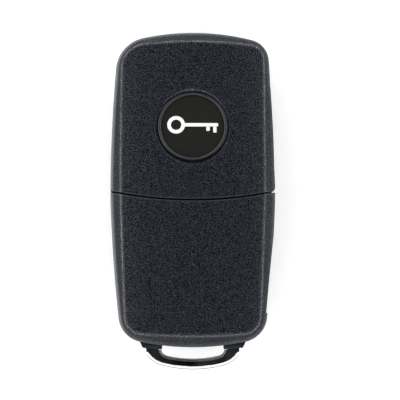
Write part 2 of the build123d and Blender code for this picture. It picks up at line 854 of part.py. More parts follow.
# Release button and the coil spring over its stem
with BuildPart() as release_button:
    with Locations((pivot_x, pivot_y, release_face_z)):
        Cylinder(
            release_cap_radius,
            release_flange_z - release_face_z,
            align=(Align.CENTER, Align.CENTER, Align.MIN),
        )
    fillet(release_button.edges().group_by(Axis.Z)[0], release_edge_round)
    with Locations((pivot_x, pivot_y, release_face_z + release_hollow_depth - release_hollow_radius)):
        Sphere(release_hollow_radius, mode=Mode.SUBTRACT)
    add(raised(disc(pivot_x, pivot_y, release_flange_radius), release_flange_z, stem_base_z))
    for turn in (90, 180, 270):
        with Locations(Location((pivot_x, pivot_y, release_flange_z), (0, 0, turn))):
            Box(
                release_flange_radius + lug_reach,
                lug_width,
                release_flange_thickness,
                align=(Align.MIN, Align.CENTER, Align.MIN),
            )
    add(raised(disc(pivot_x, pivot_y, stem_radius), stem_base_z, stem_top_z))
    chamfer(release_button.edges().group_by(Axis.Z)[-1], spring_wire_radius)
save(release_button.part, "release_button")

spring_low_z = stem_top_z + spring_wire_radius + spring_end_gap
spring_high_z = upper_bore_z - spring_wire_radius - spring_end_gap
spring_pitch = (spring_high_z - spring_low_z) / spring_turns
with BuildPart() as flip_spring:
    with BuildLine(Plane((pivot_x, pivot_y, spring_low_z))) as coil:
        Helix(spring_pitch, spring_high_z - spring_low_z, spring_radius)
    with BuildSketch(Plane(origin=coil.line @ 0, z_dir=coil.line % 0)):
        Circle(spring_wire_radius)
    sweep(path=coil.line, is_frenet=True)
save(flip_spring.part, "flip_spring")

# Remote, front moulding: panel with three openings, slot, posts, loop sockets, arm holes
loop_outer_y = ear_outer_y - loop_ear_gap
loop_inner_y = ear_inner_y - loop_ear_gap
side_drop = 3 * loop_reach
side_in = side_drop * tan(radians(loop_side_slope))
with BuildPart() as key_ring_loop:
    with BuildSketch(Plane.XY.offset(loop_bottom_z)):
        with BuildLine():
            Polyline(
                (-loop_hole_half_width, loop_inner_y),
                (-loop_half_width, loop_outer_y),
                (-loop_half_width + side_in, loop_outer_y - side_drop),
                (loop_half_width - side_in, loop_outer_y - side_drop),
                (loop_half_width, loop_outer_y),
                (loop_hole_half_width, loop_inner_y),
                close=True,
            )
        make_face()
        with Locations((0, loop_end_y + loop_bow_radius)):
            Circle(loop_bow_radius, mode=Mode.INTERSECT)
    extrude(amount=loop_thickness)
    lower = key_ring_loop.edges().filter_by(Axis.Z).sort_by(Axis.Y)[:2]
    fillet(lower, loop_corner_radius)
    with BuildSketch(Plane.XY.offset(loop_bottom_z)) as loop_hole:
        add(plate(-loop_hole_half_width, loop_hole_half_width, loop_end_y, bottom_y + 1))
        with Locations((0, loop_end_y + loop_bow_radius)):
            Circle(loop_bow_radius - loop_band, mode=Mode.INTERSECT)
        fillet(loop_hole.vertices().sort_by(Axis.Y)[:2], loop_hole_corner)
    extrude(amount=loop_thickness, mode=Mode.SUBTRACT)
    faces = key_ring_loop.faces().filter_by(Plane.XY)
    chamfer(faces.edges().filter_by(lambda e: e.center().Y < loop_inner_y - loop_ear_gap), loop_edge)
    with BuildSketch(Plane.XY.offset(loop_bottom_z)):
        for side in (1, -1):
            low_x, high_x = sorted((side * tang_inner_x, side * tang_outer_x))
            add(plate(low_x, high_x, loop_inner_y - loop_edge, bottom_y + loop_tang_depth))
    extrude(amount=loop_thickness)
    with Locations((-loop_pin_x, loop_pin_y, loop_z), (loop_pin_x, loop_pin_y, loop_z)):
        Cylinder(loop_pin_radius, 2 * loop_thickness, mode=Mode.SUBTRACT)
save(key_ring_loop.part, "key_ring_loop")

for name, x in (("loop_pin_left", -loop_pin_x), ("loop_pin_right", loop_pin_x)):
    with BuildPart() as loop_pin:
        with Locations((x, loop_pin_y, (loop_pin_bottom_z + loop_pin_top_z) / 2)):
            Cylinder(loop_pin_radius, loop_pin_top_z - loop_pin_bottom_z)
        chamfer(loop_pin.edges().filter_by(GeomType.CIRCLE), loop_pin_radius / 5)
    save(loop_pin.part, name)

ear_top_y = bottom_y + loop_tang_depth + ear_margin
with BuildPart() as ears:
    for side in (1, -1):
        with BuildSketch(Plane.XY.offset(loop_bottom_z - ear_margin)):
            with BuildLine():
                Polyline(
                    (side * ear_inner_x, ear_top_y),
                    (side * ear_inner_x, ear_inner_y),
                    (side * ear_outer_x, ear_outer_y),
                    (side * (ear_outer_x + ear_flare), bottom_y + 2 * ear_flare),
                    (side * (ear_outer_x + ear_flare), ear_top_y),
                    close=True,
                )
            make_face()
        extrude(amount=loop_thickness + 2 * ear_margin)
    fillet(ears.edges().filter_by(Axis.Z).sort_by(Axis.Y)[:4], ear_corner)

with BuildPart() as loop_sockets:
    for side in (1, -1):
        low_x, high_x = sorted((side * tang_inner_x, side * tang_outer_x))
        with BuildSketch(Plane.XY.offset(loop_bottom_z - ear_gap)):
            add(
                plate(
                    low_x - ear_gap,
                    high_x + ear_gap,
                    ear_inner_y - 1,
                    bottom_y + loop_tang_depth + ear_gap,
                )
            )
        extrude(amount=loop_thickness + 2 * ear_gap)
        with Locations((side * loop_pin_x, loop_pin_y, loop_pin_bottom_z)):
            Cylinder(
                loop_pin_radius,
                case_depth,
                align=(Align.CENTER, Align.CENTER, Align.MIN),
            )

with BuildPart() as remote_front_inside:
    add(slot_tray)
    add(
        raised(
            plate(
                -panel_width / 2 - panel_margin,
                panel_width / 2 + panel_margin,
                panel_y - panel_height / 2 - panel_margin,
                panel_y + panel_height / 2 + panel_margin,
            ),
            wall / 2,
            panel_floor_z,
        )
    )
    for x, below in post_places:
        add(raised(disc(x, parting_y - below, post_radius), wall / 2, board_z))
        add(raised(disc(x, parting_y - below, post_pin_radius), board_z, board_z + post_pin_height))
    add(remote_outer.part, mode=Mode.INTERSECT)

with BuildPart() as panel_cuts:
    with BuildSketch(Plane.XY.offset(-1)):
        with Locations((0, panel_y)):
            RectangleRounded(panel_width, panel_height, panel_corner)
    extrude(amount=1 + panel_depth)
    with BuildSketch(Plane.XY):
        with Locations(*[(0, y) for y in button_ys]):
            RectangleRounded(
                button_width + 2 * button_gap,
                button_height + 2 * button_gap,
                button_corner + button_gap,
            )
        with Locations((0, led_y)):
            Circle(lens_radius + lens_gap)
    extrude(amount=panel_floor_z)

with BuildPart() as remote_rebate:
    add(rebate_block)
    add(remote_room_cylinder, mode=Mode.SUBTRACT)

relief_start_y = parting_y - relief_start_below


def side_x(y):
    """Half width of the remote at a height y, from the side's own arc."""
    lean = radians(remote_lean)
    centre_x = half_width - remote_side_radius * cos(lean)
    centre_y = waist_y + remote_side_radius * sin(lean)
    return centre_x + sqrt(remote_side_radius**2 - (y - centre_y) ** 2)


def relief_cut(depth):
    """Wedge taken off the remote's right side beside the blade's tip."""
    with BuildPart(mode=Mode.PRIVATE) as wedge:
        with BuildSketch(Plane.XY.offset(-beyond)):
            with BuildLine():
                Polyline(
                    (side_x(relief_start_y), relief_start_y),
                    (side_x(slot_end_y) - depth, slot_end_y),
                    (half_width + beyond, slot_end_y),
                    (half_width + beyond, relief_start_y),
                    close=True,
                )
            make_face()
        extrude(amount=case_depth + 2 * beyond)
    return wedge.part


with BuildPart() as remote_front_shell:
    add(remote_outer.part)
    split(bisect_by=Plane.XY.offset(front_top_z), keep=Keep.BOTTOM)
    add(remote_room.part, mode=Mode.SUBTRACT)
    add(remote_rebate.part, mode=Mode.SUBTRACT)
    add(remote_front_inside.part)
    add(ears.part)
    add(slot_room, mode=Mode.SUBTRACT)
    add(panel_cuts.part, mode=Mode.SUBTRACT)
    add(loop_sockets.part, mode=Mode.SUBTRACT)
    for x in arm_places:
        with Locations((x, parting_line_y(x), arm_z)):
            Box(
                arm_width + 2 * arm_gap,
                4 * wall,
                arm_height + 2 * arm_gap,
                mode=Mode.SUBTRACT,
            )
    add(relief_cut(relief_depth_front), mode=Mode.SUBTRACT)
save(remote_front_shell.part, "remote_front_shell")

# Remote, battery cover: crown, lid of the slot, ring and seat that carry the coin cell
with BuildPart() as cell_cradle:
    add(raised(disc(cell_x, cell_y, cell_radius + cell_gap + cradle_ring), back_bottom_z, case_depth))
    add(
        raised(disc(cell_x, cell_y, cell_radius + cell_gap - cradle_seat), 0, case_depth + 1),
        mode=Mode.SUBTRACT,
    )
    with Locations((cell_x, cell_y - cell_radius, back_bottom_z)):
        Box(
            cradle_opening,
            cell_radius,
            2 * case_depth,
            mode=Mode.SUBTRACT,
        )
    add(slot_lid)
    add(remote_outer.part, mode=Mode.INTERSECT)

ear_clear_low_y = bottom_y - beyond
with BuildPart() as remote_tongue:
    with BuildSketch(Plane.XY.offset(front_top_z - tongue_depth)):
        add(tongue_outer)
        add(tongue_inner, mode=Mode.SUBTRACT)
        for side in (1, -1):
            low_x, high_x = sorted((side * ear_inner_x, side * (ear_outer_x + ear_flare)))
            add(
                plate(
                    low_x - tongue_stop,
                    high_x + tongue_stop,
                    ear_clear_low_y,
                    ear_top_y,
                ),
                mode=Mode.SUBTRACT,
            )
    extrude(amount=tongue_depth + seam + wall / 2)
    add(remote_tongue_cylinder, mode=Mode.SUBTRACT)
    add(slot_clear, mode=Mode.SUBTRACT)

cell_pocket = raised(disc(cell_x, cell_y, cell_radius + cell_gap), 0, cell_top_z + cell_top_gap)
with BuildPart() as battery_cover:
    add(remote_outer.part)
    split(bisect_by=Plane.XY.offset(back_bottom_z), keep=Keep.TOP)
    add(remote_room.part, mode=Mode.SUBTRACT)
    add(cell_cradle.part)
    add(remote_tongue.part)
    add(slot_room, mode=Mode.SUBTRACT)
    add(cell_pocket, mode=Mode.SUBTRACT)
    add(relief_cut(relief_depth_back), mode=Mode.SUBTRACT)
save(battery_cover.part, "battery_cover")

with BuildPart() as coin_cell:
    with Locations((cell_x, cell_y, cell_bottom_z)):
        Cylinder(
            cell_cap_radius,
            cell_cap_height,
            align=(Align.CENTER, Align.CENTER, Align.MIN),
        )
    with Locations((cell_x, cell_y, cell_bottom_z + cell_cap_height)):
        Cylinder(
            cell_radius,
            cell_thickness - cell_cap_height,
            align=(Align.CENTER, Align.CENTER, Align.MIN),
        )
    fillet(coin_cell.edges().group_by(Axis.Z)[-1], cell_edge_round)
    fillet(coin_cell.edges().group_by(Axis.Z)[0], cell_edge_round)
save(coin_cell.part, "coin_cell")

# Buttons, mat, lens
for name, y in zip(("lock_button", "unlock_button", "trunk_button"), button_ys):
    with BuildPart() as button:
        with BuildSketch(Plane.XY.offset(button_face_z)):
            with Locations((0, y)):
                RectangleRounded(button_width, button_height, button_corner)
        extrude(amount=flange_z - button_face_z)
        fillet(button.edges().group_by(Axis.Z)[0], button_edge_round)
        with BuildSketch(Plane.XY.offset(flange_z)):
            with Locations((0, y)):
                RectangleRounded(
                    button_width + 2 * button_flange,
                    button_height + 2 * button_flange,
                    button_corner + button_flange,
                )
        extrude(amount=button_flange_thickness)
    save(button.part, name)

mat_inner_x = button_width / 2 + button_flange + mat_skirt_gap
mat_inner_top = button_ys[0] + button_height / 2 + button_flange + mat_skirt_gap
mat_inner_bottom = button_ys[-1] - button_height / 2 - button_flange - mat_skirt_gap
mat_inner = plate(-mat_inner_x, mat_inner_x, mat_inner_bottom, mat_inner_top)
mat_plan = plate(
    -mat_inner_x - mat_skirt_side,
    mat_inner_x + mat_skirt_side,
    mat_inner_bottom - mat_skirt_end,
    mat_inner_top + mat_skirt_end,
)
mat_skirt_top_z = slot_floor_z - slot_wall - mat_foot_gap
with BuildPart() as button_mat:
    add(raised(mat_plan, panel_floor_z + mat_foot_gap, mat_skirt_top_z))
    add(raised(mat_inner, 0, mat_z), mode=Mode.SUBTRACT)
    add(raised(mat_inner, mat_top_z, board_z), mode=Mode.SUBTRACT)
    fillet(button_mat.edges().filter_by(Axis.Z).group_by(SortBy.LENGTH)[-1], mat_skirt_end)
    for y in button_ys:
        add(raised(disc(0, y, mat_post_radius), mat_top_z, mat_top_z + mat_post_height))
save(button_mat.part, "button_mat")

with BuildPart() as led_lens:
    add(raised(disc(0, led_y, lens_radius), panel_depth, panel_floor_z))
    add(
        raised(
            disc(0, led_y, lens_flange_radius),
            panel_floor_z,
            panel_floor_z + lens_flange_thickness,
        )
    )
save(led_lens.part, "led_lens")

# Circuit board and its components
with BuildPart() as circuit_board:
    with BuildSketch(Plane.XY.offset(board_z)):
        add(case_outline(wall + board_left_gap))
        add(
            plate(
                -case_width,
                board_right_x,
                parting_y - board_bottom_below,
                parting_y - board_top_below,
            ),
            mode=Mode.INTERSECT,
        )
        add(
            plate(
                -board_tab_width / 2,
                board_tab_width / 2,
                parting_y - board_bottom_below - board_tab_length,
                parting_y - board_bottom_below + 1,
            )
        )
    extrude(amount=board_thickness)
    for x, below in post_places:
        with Locations((x, parting_y - below, board_z)):
            Cylinder(post_pin_radius + post_pin_gap, 4 * board_thickness, mode=Mode.SUBTRACT)
save(circuit_board.part, "circuit_board")

for name, y in zip(("lock_switch", "unlock_switch", "trunk_switch"), button_ys):
    with BuildPart() as switch:
        with Locations((0, y, board_z)):
            Box(
                switch_size,
                switch_size,
                switch_height,
                align=(Align.CENTER, Align.CENTER, Align.MAX),
            )
        chamfer(switch.edges().filter_by(Axis.Z), switch_corner)
        with Locations((0, y, board_z - switch_height)):
            Cylinder(
                plunger_radius,
                plunger_height,
                align=(Align.CENTER, Align.CENTER, Align.MAX),
            )
    save(switch.part, name)

with BuildPart() as controller_chip:
    with Locations((chip_place[0], parting_y - chip_place[1], board_top_z)):
        Box(*chip_size, align=(Align.CENTER, Align.CENTER, Align.MIN))
    chamfer(controller_chip.edges().group_by(Axis.Z)[-1], chip_size[2] / 5)
save(controller_chip.part, "controller_chip")

with BuildPart() as crystal:
    with Locations((crystal_place[0], parting_y - crystal_place[1], board_top_z)):
        Box(*crystal_size, align=(Align.CENTER, Align.CENTER, Align.MIN))
    fillet(crystal.edges().filter_by(Axis.Z), crystal_corner)
save(crystal.part, "crystal")

with BuildPart() as antenna_coil:
    coil_y = parting_y - coil_place[1]
    with Locations((coil_place[0], coil_y, board_top_z)):
        Box(*coil_size, align=(Align.CENTER, Align.CENTER, Align.MIN))
        for side in (1, -1):
            for turn in (1, -1):
                with Locations((side * coil_size[0] / 2, 0, (1 + turn) / 2 * coil_size[2])):
                    Box(
                        coil_flange,
                        coil_size[1] - 2 * coil_flange,
                        coil_flange / 2,
                        mode=Mode.SUBTRACT,
                    )
save(antenna_coil.part, "antenna_coil")

with BuildPart() as status_led:
    with Locations((0, led_y, board_z)):
        Box(*led_size, align=(Align.CENTER, Align.CENTER, Align.MAX))
    chamfer(status_led.edges().group_by(Axis.Z)[0], led_size[2] / 5)
save(status_led.part, "status_led")

# Battery contacts: a bowed strip under the cell and a clip at its side
strip_start = cell_x - contact_flat / 2 - contact_rise_run - contact_foot
strip_top_z = cell_bottom_z - contact_clearance
with BuildPart() as battery_contact_negative:
    with BuildSketch(Plane.XZ.offset(-(cell_y + contact_width / 2))):
        with BuildLine():
            Polyline(
                (strip_start, board_top_z),
                (strip_start + contact_foot, board_top_z),
                (strip_start + contact_foot + contact_rise_run, strip_top_z - contact_thickness),
                (cell_x + contact_flat / 2, strip_top_z - contact_thickness),
                (cell_x + contact_flat / 2, strip_top_z),
                (strip_start + contact_foot + contact_rise_run, strip_top_z),
                (strip_start + contact_foot, board_top_z + contact_thickness),
                (strip_start, board_top_z + contact_thickness),
                close=True,
            )
        make_face()
    extrude(amount=contact_width)
save(battery_contact_negative.part, "battery_contact_negative")

clip_y = cell_y - cell_radius - clip_gap
with BuildPart() as battery_contact_positive:
    with Locations((cell_x, clip_y, board_top_z)):
        Box(
            clip_width,
            contact_thickness,
            clip_height,
            align=(Align.CENTER, Align.MAX, Align.MIN),
        )
        Box(
            clip_width,
            clip_foot,
            contact_thickness,
            align=(Align.CENTER, Align.MAX, Align.MIN),
        )
save(battery_contact_positive.part, "battery_contact_positive")
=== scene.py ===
"""Looks of a folding car remote key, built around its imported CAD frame.

Sizes in the classes are millimetres in the row frame: X across the case, Y from the key ring
loop to the head, Z up, out of the badge side. Meshes are handed to Blender in metres.
"""

from __future__ import annotations

import json
import logging
import math
from dataclasses import dataclass, field
from enum import Enum
from typing import Any, Callable, Sequence

import bmesh
import bpy
import numpy as np
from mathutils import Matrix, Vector

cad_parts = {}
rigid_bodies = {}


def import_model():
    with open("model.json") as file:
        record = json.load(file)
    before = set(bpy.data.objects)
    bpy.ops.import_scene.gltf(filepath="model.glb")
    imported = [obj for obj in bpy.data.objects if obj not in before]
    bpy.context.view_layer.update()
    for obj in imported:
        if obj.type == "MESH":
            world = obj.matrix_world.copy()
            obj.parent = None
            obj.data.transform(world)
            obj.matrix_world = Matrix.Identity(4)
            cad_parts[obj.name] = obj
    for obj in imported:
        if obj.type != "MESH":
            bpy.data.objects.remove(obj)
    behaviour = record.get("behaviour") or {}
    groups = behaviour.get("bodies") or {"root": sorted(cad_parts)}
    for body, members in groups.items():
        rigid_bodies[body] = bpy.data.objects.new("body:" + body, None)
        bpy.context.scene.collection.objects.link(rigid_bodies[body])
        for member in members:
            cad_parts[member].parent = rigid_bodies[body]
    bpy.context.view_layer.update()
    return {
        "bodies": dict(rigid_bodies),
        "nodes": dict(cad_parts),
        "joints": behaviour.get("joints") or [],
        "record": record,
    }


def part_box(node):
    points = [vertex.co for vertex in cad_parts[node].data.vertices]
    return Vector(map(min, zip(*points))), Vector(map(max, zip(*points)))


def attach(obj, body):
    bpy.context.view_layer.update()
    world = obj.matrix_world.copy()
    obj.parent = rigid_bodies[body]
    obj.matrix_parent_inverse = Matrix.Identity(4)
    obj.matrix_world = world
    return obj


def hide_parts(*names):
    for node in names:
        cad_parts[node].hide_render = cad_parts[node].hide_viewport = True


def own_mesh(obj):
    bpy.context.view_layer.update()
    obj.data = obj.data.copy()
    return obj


LOG = logging.getLogger("remote_key")
MM = 0.001
TINY = 1e-9
SHARPEST = 0.4
CORNER_SHARE = 0.48
WHITE = (1.0, 1.0, 1.0)
Array = np.ndarray
Triple = tuple[float, float, float]
Colour = Triple
Span = tuple[float, float]


# Shader maths


class Wire:
    """A shader socket or a number that adds Math nodes when it is used in an expression."""

    def __init__(self, graph: "Graph", value: Any) -> None:
        """Wraps one output socket, or a plain number, of a graph."""
        self.graph = graph
        self.value = value

    def _math(self, operation: str, *others: Any, clamp: bool = False) -> "Wire":
        """Adds one Math node that takes this value first.

        Args:
            operation: Blender's name for the operation.
            others: The node's further inputs, numbers or wires.
            clamp: Whether the result is kept between 0 and 1.

        Returns:
            The node's output.
        """
        settings = {"operation": operation, "use_clamp": clamp}
        inputs = {i: v for i, v in enumerate((self, *others))}
        return self.graph.node("ShaderNodeMath", settings, inputs)

    def __add__(self, other: Any) -> "Wire":
        """This plus another."""
        return self._math("ADD", other)

    __radd__ = __add__

    def __mul__(self, other: Any) -> "Wire":
        """This times another."""
        return self._math("MULTIPLY", other)

    __rmul__ = __mul__

    def __sub__(self, other: Any) -> "Wire":
        """This less another."""
        return self._math("SUBTRACT", other)

    def __rsub__(self, other: Any) -> "Wire":
        """Another less this."""
        return Wire(self.graph, other)._math("SUBTRACT", self)

    def __pow__(self, other: Any) -> "Wire":
        """This to the power of another."""
        return self._math("POWER", other)

    def smaller(self, other: Any) -> "Wire":
        """The smaller of this and another."""
        return self._math("MINIMUM", other)

    def larger(self, other: Any) -> "Wire":
        """The larger of this and another."""
        return self._math("MAXIMUM", other)

    def above(self, edge: Any) -> "Wire":
        """1 where this is over an edge, else 0."""
        return self._math("GREATER_THAN", edge)

    def size(self) -> "Wire":
        """This without its sign."""
        return self._math("ABSOLUTE")

    def sine(self) -> "Wire":
        """The sine of this."""
        return self._math("SINE")

    def kept(self) -> "Wire":
        """This held between 0 and 1."""
        return self._math("ADD", 0.0, clamp=True)

    def step(self, low: float, high: float) -> "Wire":
        """A smooth rise from 0 at low to 1 at high: 3t squared less 2t cubed."""
        part = ((self - low) * (1.0 / (high - low))).kept()
        return part * part * (3.0 - 2.0 * part)


class Graph:
    """The node tree of one material or of the world."""

    def __init__(self, owner: bpy.types.Material | bpy.types.World) -> None:
        """Turns on the nodes of a material or the world, and empties its tree.

        Args:
            owner: The material or the world.
        """
        owner.use_nodes = True
        self.tree = owner.node_tree
        self.tree.nodes.clear()

    def node(
        self,
        kind: str,
        settings: dict[str, Any] | None = None,
        inputs: dict[Any, Any] | None = None,
        output: Any = 0,
    ) -> Wire:
        """Adds a node, sets it and then its sockets.

        Args:
            kind: The node's Blender type.
            settings: The node's own properties.
            inputs: Socket name or index to a number, colour or wire.
            output: Name or index of the socket that is returned.

        Returns:
            The chosen output.
        """
        made = self.tree.nodes.new(kind)
        for name, value in (settings or {}).items():
            setattr(made, name, value)
        for name, value in (inputs or {}).items():
            self._feed(made.inputs[name], value)
        return Wire(self, made.outputs[output] if made.outputs else made)

    def _feed(self, socket: bpy.types.NodeSocket, value: Any) -> None:
        """Links or sets one input socket; a colour of three parts gets an alpha of 1.

        Args:
            socket: The socket.
            value: A wire or an output to link, or else the socket's own value.
        """
        if isinstance(value, Wire):
            value = value.value
        if isinstance(value, bpy.types.NodeSocket):
            self.tree.links.new(value, socket)
            return
        if socket.type == "RGBA" and len(value) == 3:
            value = (*value, 1.0)
        socket.default_value = value

    def place(self) -> Wire:
        """Position on the piece, in metres, from Object coordinates."""
        return self.node("ShaderNodeTexCoord", output="Object")

    def along(self, axis: int) -> Wire:
        """One component of the position on the piece."""
        return self.node("ShaderNodeSeparateXYZ", {}, {0: self.place()}, output=axis)

    def facing(self, axis: int) -> Wire:
        """One component of the piece's own normal."""
        normal = self.node("ShaderNodeTexCoord", output="Normal")
        return self.node("ShaderNodeSeparateXYZ", {}, {0: normal}, output=axis)

    def lean(self) -> Wire:
        """How level the surface is on the piece: 1 for a level face, 0 for an upright one."""
        return self.facing(2).size()

    def stretched(self, scale: Triple) -> Wire:
        """The position on the piece, scaled along each axis."""
        inputs = {"Vector": self.place(), "Scale": scale}
        return self.node("ShaderNodeMapping", {}, inputs)

    def noise(
        self, scale: float, detail: float = 2.0, rough: float = 0.5, at: Wire | None = None
    ) -> Wire:
        """A noise value about 0.5.

        Args:
            scale: Cells to the metre.
            detail: Number of finer layers.
            rough: Share of the finer layers.
            at: Where it is read, or None for the piece's own position.

        Returns:
            The noise.
        """
        inputs = {
            "Vector": at or self.place(),
            "Scale": scale,
            "Detail": detail,
            "Roughness": rough,
        }
        return self.node("ShaderNodeTexNoise", {}, inputs)

    def blend(self, factor: Any, first: Any, second: Any) -> Wire:
        """A colour between two others; the Mix node's colours are its sockets 6, 7 and 2."""
        settings = {"data_type": "RGBA", "clamp_factor": True}
        return self.node("ShaderNodeMix", settings, {0: factor, 6: first, 7: second}, output=2)

    def bump(self, height: Wire, depth: float) -> Wire:
        """A normal bent by a height of 0 to 1 that stands for depth in metres."""
        inputs = {"Height": height, "Distance": depth, "Strength": 1.0}
        return self.node("ShaderNodeBump", {}, inputs)


def scaled(parts: Triple, factor: float) -> Triple:
    """A colour or a place with each part multiplied."""
    return tuple(part * factor for part in parts)


class Finish:
    """Base of the finishes: makes one material whose surface a subclass fills in."""

    def surface(self, graph: Graph) -> dict[str, Any]:
        """Works out the surface.

        Args:
            graph: The material's node tree.

        Returns:
            The shader's sockets and what each is set or linked to.
        """
        raise NotImplementedError

    def material(self, name: str) -> bpy.types.Material:
        """Builds the material.

        Args:
            name: The material's name.

        Returns:
            The finished material.
        """
        made = bpy.data.materials.new(name)
        graph = Graph(made)
        shader = graph.node("ShaderNodeBsdfPrincipled", {}, self.surface(graph))
        graph.node("ShaderNodeOutputMaterial", {}, {"Surface": shader})
        return made


@dataclass(frozen=True)
class GrainedPlastic(Finish):
    """Spark-eroded moulding: fine pale, glossy points on a dark matt base."""

    base: Colour
    speck: Colour
    grain_size: float = 0.15 * MM
    grain_depth: float = 0.03 * MM
    contrast: float = 26.0
    share: float = -0.85
    roughness: float = 0.5
    gloss: float = 0.21
    gloss_roughness: float = 0.3
    gloss_index: float = 2.3
    least_gloss: float = 0.01
    specular: float = 0.05
    cloud_scale: float = 120.0
    cloud_swing: float = 0.1

    def grain(self, graph: Graph) -> tuple[Wire, Wire]:
        """The fine noise of the moulding's skin, and the mask of its raised points."""
        fine = graph.noise(1.0 / self.grain_size, rough=0.7)
        return fine, ((fine - 0.5) * self.contrast + self.share).kept()

    def surface(self, graph: Graph) -> dict[str, Any]:
        """Points are where a fine noise is high: they are paler, stand up and take the coat.

        Args:
            graph: The material's node tree.

        Returns:
            The shader's sockets and their values.
        """
        fine, mask = self.grain(graph)
        broad = graph.noise(self.cloud_scale)
        return {
            "Base Color": graph.blend(mask, self.base, self.speck),
            "Roughness": self.roughness + (broad - 0.5) * self.cloud_swing,
            "Specular IOR Level": self.specular,
            "Coat Weight": mask * self.gloss + self.least_gloss,
            "Coat Roughness": self.gloss_roughness,
            "Coat IOR": self.gloss_index,
            "Normal": graph.bump(fine, self.grain_depth),
        }


@dataclass(frozen=True)
class PartedPlastic(GrainedPlastic):
    """Moulding grain with painted highlights on ridges and rims, painted shade on slopes and
    joint.

    A level is 1 for a level surface and 0 for an upright one. A pair is where a step begins and
    where it is done.
    """

    ridge_rise: Span = (0.59, 0.72)
    ridge_fall: Span = (0.935, 0.987)
    ridge_gloss: float = 0.3
    ridge_highlight: float = 0.31
    slope_levels: Span = (0.6, 0.9)
    slope_shade: float = 0.35
    shoulder_z: float = 10.2 * MM
    shoulder_foot: Span = (-0.9 * MM, -0.2 * MM)
    shoulder_head: Span = (0.1 * MM, 1.5 * MM)
    shoulder_highlight: float = 0.95
    lit_end_share: float = 0.6
    lit_side_levels: Span = (0.2, 0.8)
    lit_rim_foot: Span = (-0.6 * MM, -0.1 * MM)
    lit_rim_head: Span = (0.1 * MM, 1.3 * MM)
    lit_rim_highlight: float = 0.75
    socket_reach: Span = (32.0 * MM, 32.5 * MM)
    socket_highlight: float = 0.6
    least_highlight: float = 0.4
    badge_y: float = 15.8 * MM
    badge_reach: float = 9.3 * MM
    middle_y: float = -0.3 * MM
    radius: float = 81.0 * MM
    line: float = 0.24 * MM
    line_blur: Span = (0.7, 1.3)
    edge: float = 0.36 * MM
    edge_blur: Span = (0.7, 1.2)
    joint_edge_highlight: float = 0.8
    # Painted highlight colours for ridges, rims and joint edges, and a near-black painted shade
    # for the joint.
    highlight_tone: Colour = (0.085, 0.09, 0.1)
    pale: Colour = (0.17, 0.18, 0.19)
    dust_and_gap_shade: Colour = (0.0006, 0.0006, 0.0007)

    def with_painted_light(self, graph: Graph, mask: Wire, ridge: Wire, plain: Wire) -> Wire:
        """The skin's colour with painted light: shade on the slopes, highlights on ridge and rims.

        Args:
            graph: The material's node tree.
            mask: 1 on the grain's raised points, which take the most painted highlight.
            ridge: 1 on the ridge between crown and slope.
            plain: The colour without painted light.

        Returns:
            The colour with its painted shade and highlights.
        """
        # Painted shade: faces that turn steep are darkened towards the base colour.
        slope_shading = (1.0 - graph.lean().step(*self.slope_levels)) * self.slope_shade
        slope = graph.blend(slope_shading, plain, self.base)
        height = graph.along(2) - self.shoulder_z
        shoulder = (1.0 - height.step(*self.shoulder_head)) * height.step(*self.shoulder_foot)
        socket = (0.0 - graph.along(1)).step(*self.socket_reach) * self.socket_highlight
        # Painted highlights: paler colour on the ridge, the shoulder rim and the loop's sockets,
        # most on raised grain points.
        highlight_mask = (ridge * self.ridge_highlight + shoulder * self.shoulder_highlight).larger(socket)
        highlight_mask = highlight_mask * (self.least_highlight + mask * (1.0 - self.least_highlight))
        # Painted highlight: rims facing left and towards the head, the side the light comes from,
        # are made paler.
        side = (graph.facing(1) * self.lit_end_share - graph.facing(0)).step(*self.lit_side_levels)
        rim = (1.0 - height.step(*self.lit_rim_head)) * height.step(*self.lit_rim_foot)
        skin = graph.blend(highlight_mask, slope, self.highlight_tone)
        return graph.blend(rim * side * self.lit_rim_highlight, skin, self.pale)

    def surface(self, graph: Graph) -> dict[str, Any]:
        """Distance from the parting line is the length to its centre less its radius.

        Painted shade, near black, lies along the joint where the gloss goes; painted highlights
        edge it.
        Where the surface turns from level to steep, outside the badge, it is rubbed shinier.

        Args:
            graph: The material's node tree.

        Returns:
            The shader's sockets and their values.
        """
        sockets = super().surface(graph)
        mask = self.grain(graph)[1]
        x, y = graph.along(0), graph.along(1) - (self.middle_y + self.radius)
        badge = graph.along(1) - self.badge_y
        outside = (x * x + badge * badge).above(self.badge_reach**2)
        level = graph.lean()
        ridge = level.step(*self.ridge_rise) * (1.0 - level.step(*self.ridge_fall)) * outside
        skin = self.with_painted_light(graph, mask, ridge, sockets["Base Color"])
        away = ((x * x + y * y) ** 0.5 - self.radius).size()
        # Painted shade: a near-black band on the parting line stands in for the gap's shadow; the
        # band beside it is a painted highlight.
        joint = 1.0 - away.step(*(self.line * part for part in self.line_blur))
        beside = 1.0 - away.step(*(self.edge * part for part in self.edge_blur))
        paler = graph.blend(beside * (1.0 - joint) * self.joint_edge_highlight, skin, self.highlight_tone)
        shine = sockets["Coat Weight"] + ridge * mask * self.ridge_gloss
        sockets["Base Color"] = graph.blend(joint, paler, self.dust_and_gap_shade)
        sockets["Coat Weight"] = shine * (1.0 - joint)
        return sockets


@dataclass(frozen=True)
class SatinPlastic(Finish):
    """Smooth moulded plastic with faint flow marks."""

    base: Colour
    roughness: float = 0.35
    ripple: float = 0.004 * MM
    ripple_scale: float = 1400.0
    specular: float = 0.5
    cloud_scale: float = 260.0
    cloud_swing: float = 0.1
    cloud_share: float = 0.5
    paler: float = 1.35

    def surface(self, graph: Graph) -> dict[str, Any]:
        """A broad noise moves the colour and roughness, and a fine one bends the surface.

        Args:
            graph: The material's node tree.

        Returns:
            The shader's sockets and their values.
        """
        broad = graph.noise(self.cloud_scale, detail=3.0, rough=0.55)
        paler = scaled(self.base, self.paler)
        return {
            "Base Color": graph.blend(broad * self.cloud_share, self.base, paler),
            "Roughness": self.roughness + (broad - 0.5) * self.cloud_swing,
            "Specular IOR Level": self.specular,
            "Normal": graph.bump(graph.noise(self.ripple_scale), self.ripple),
        }


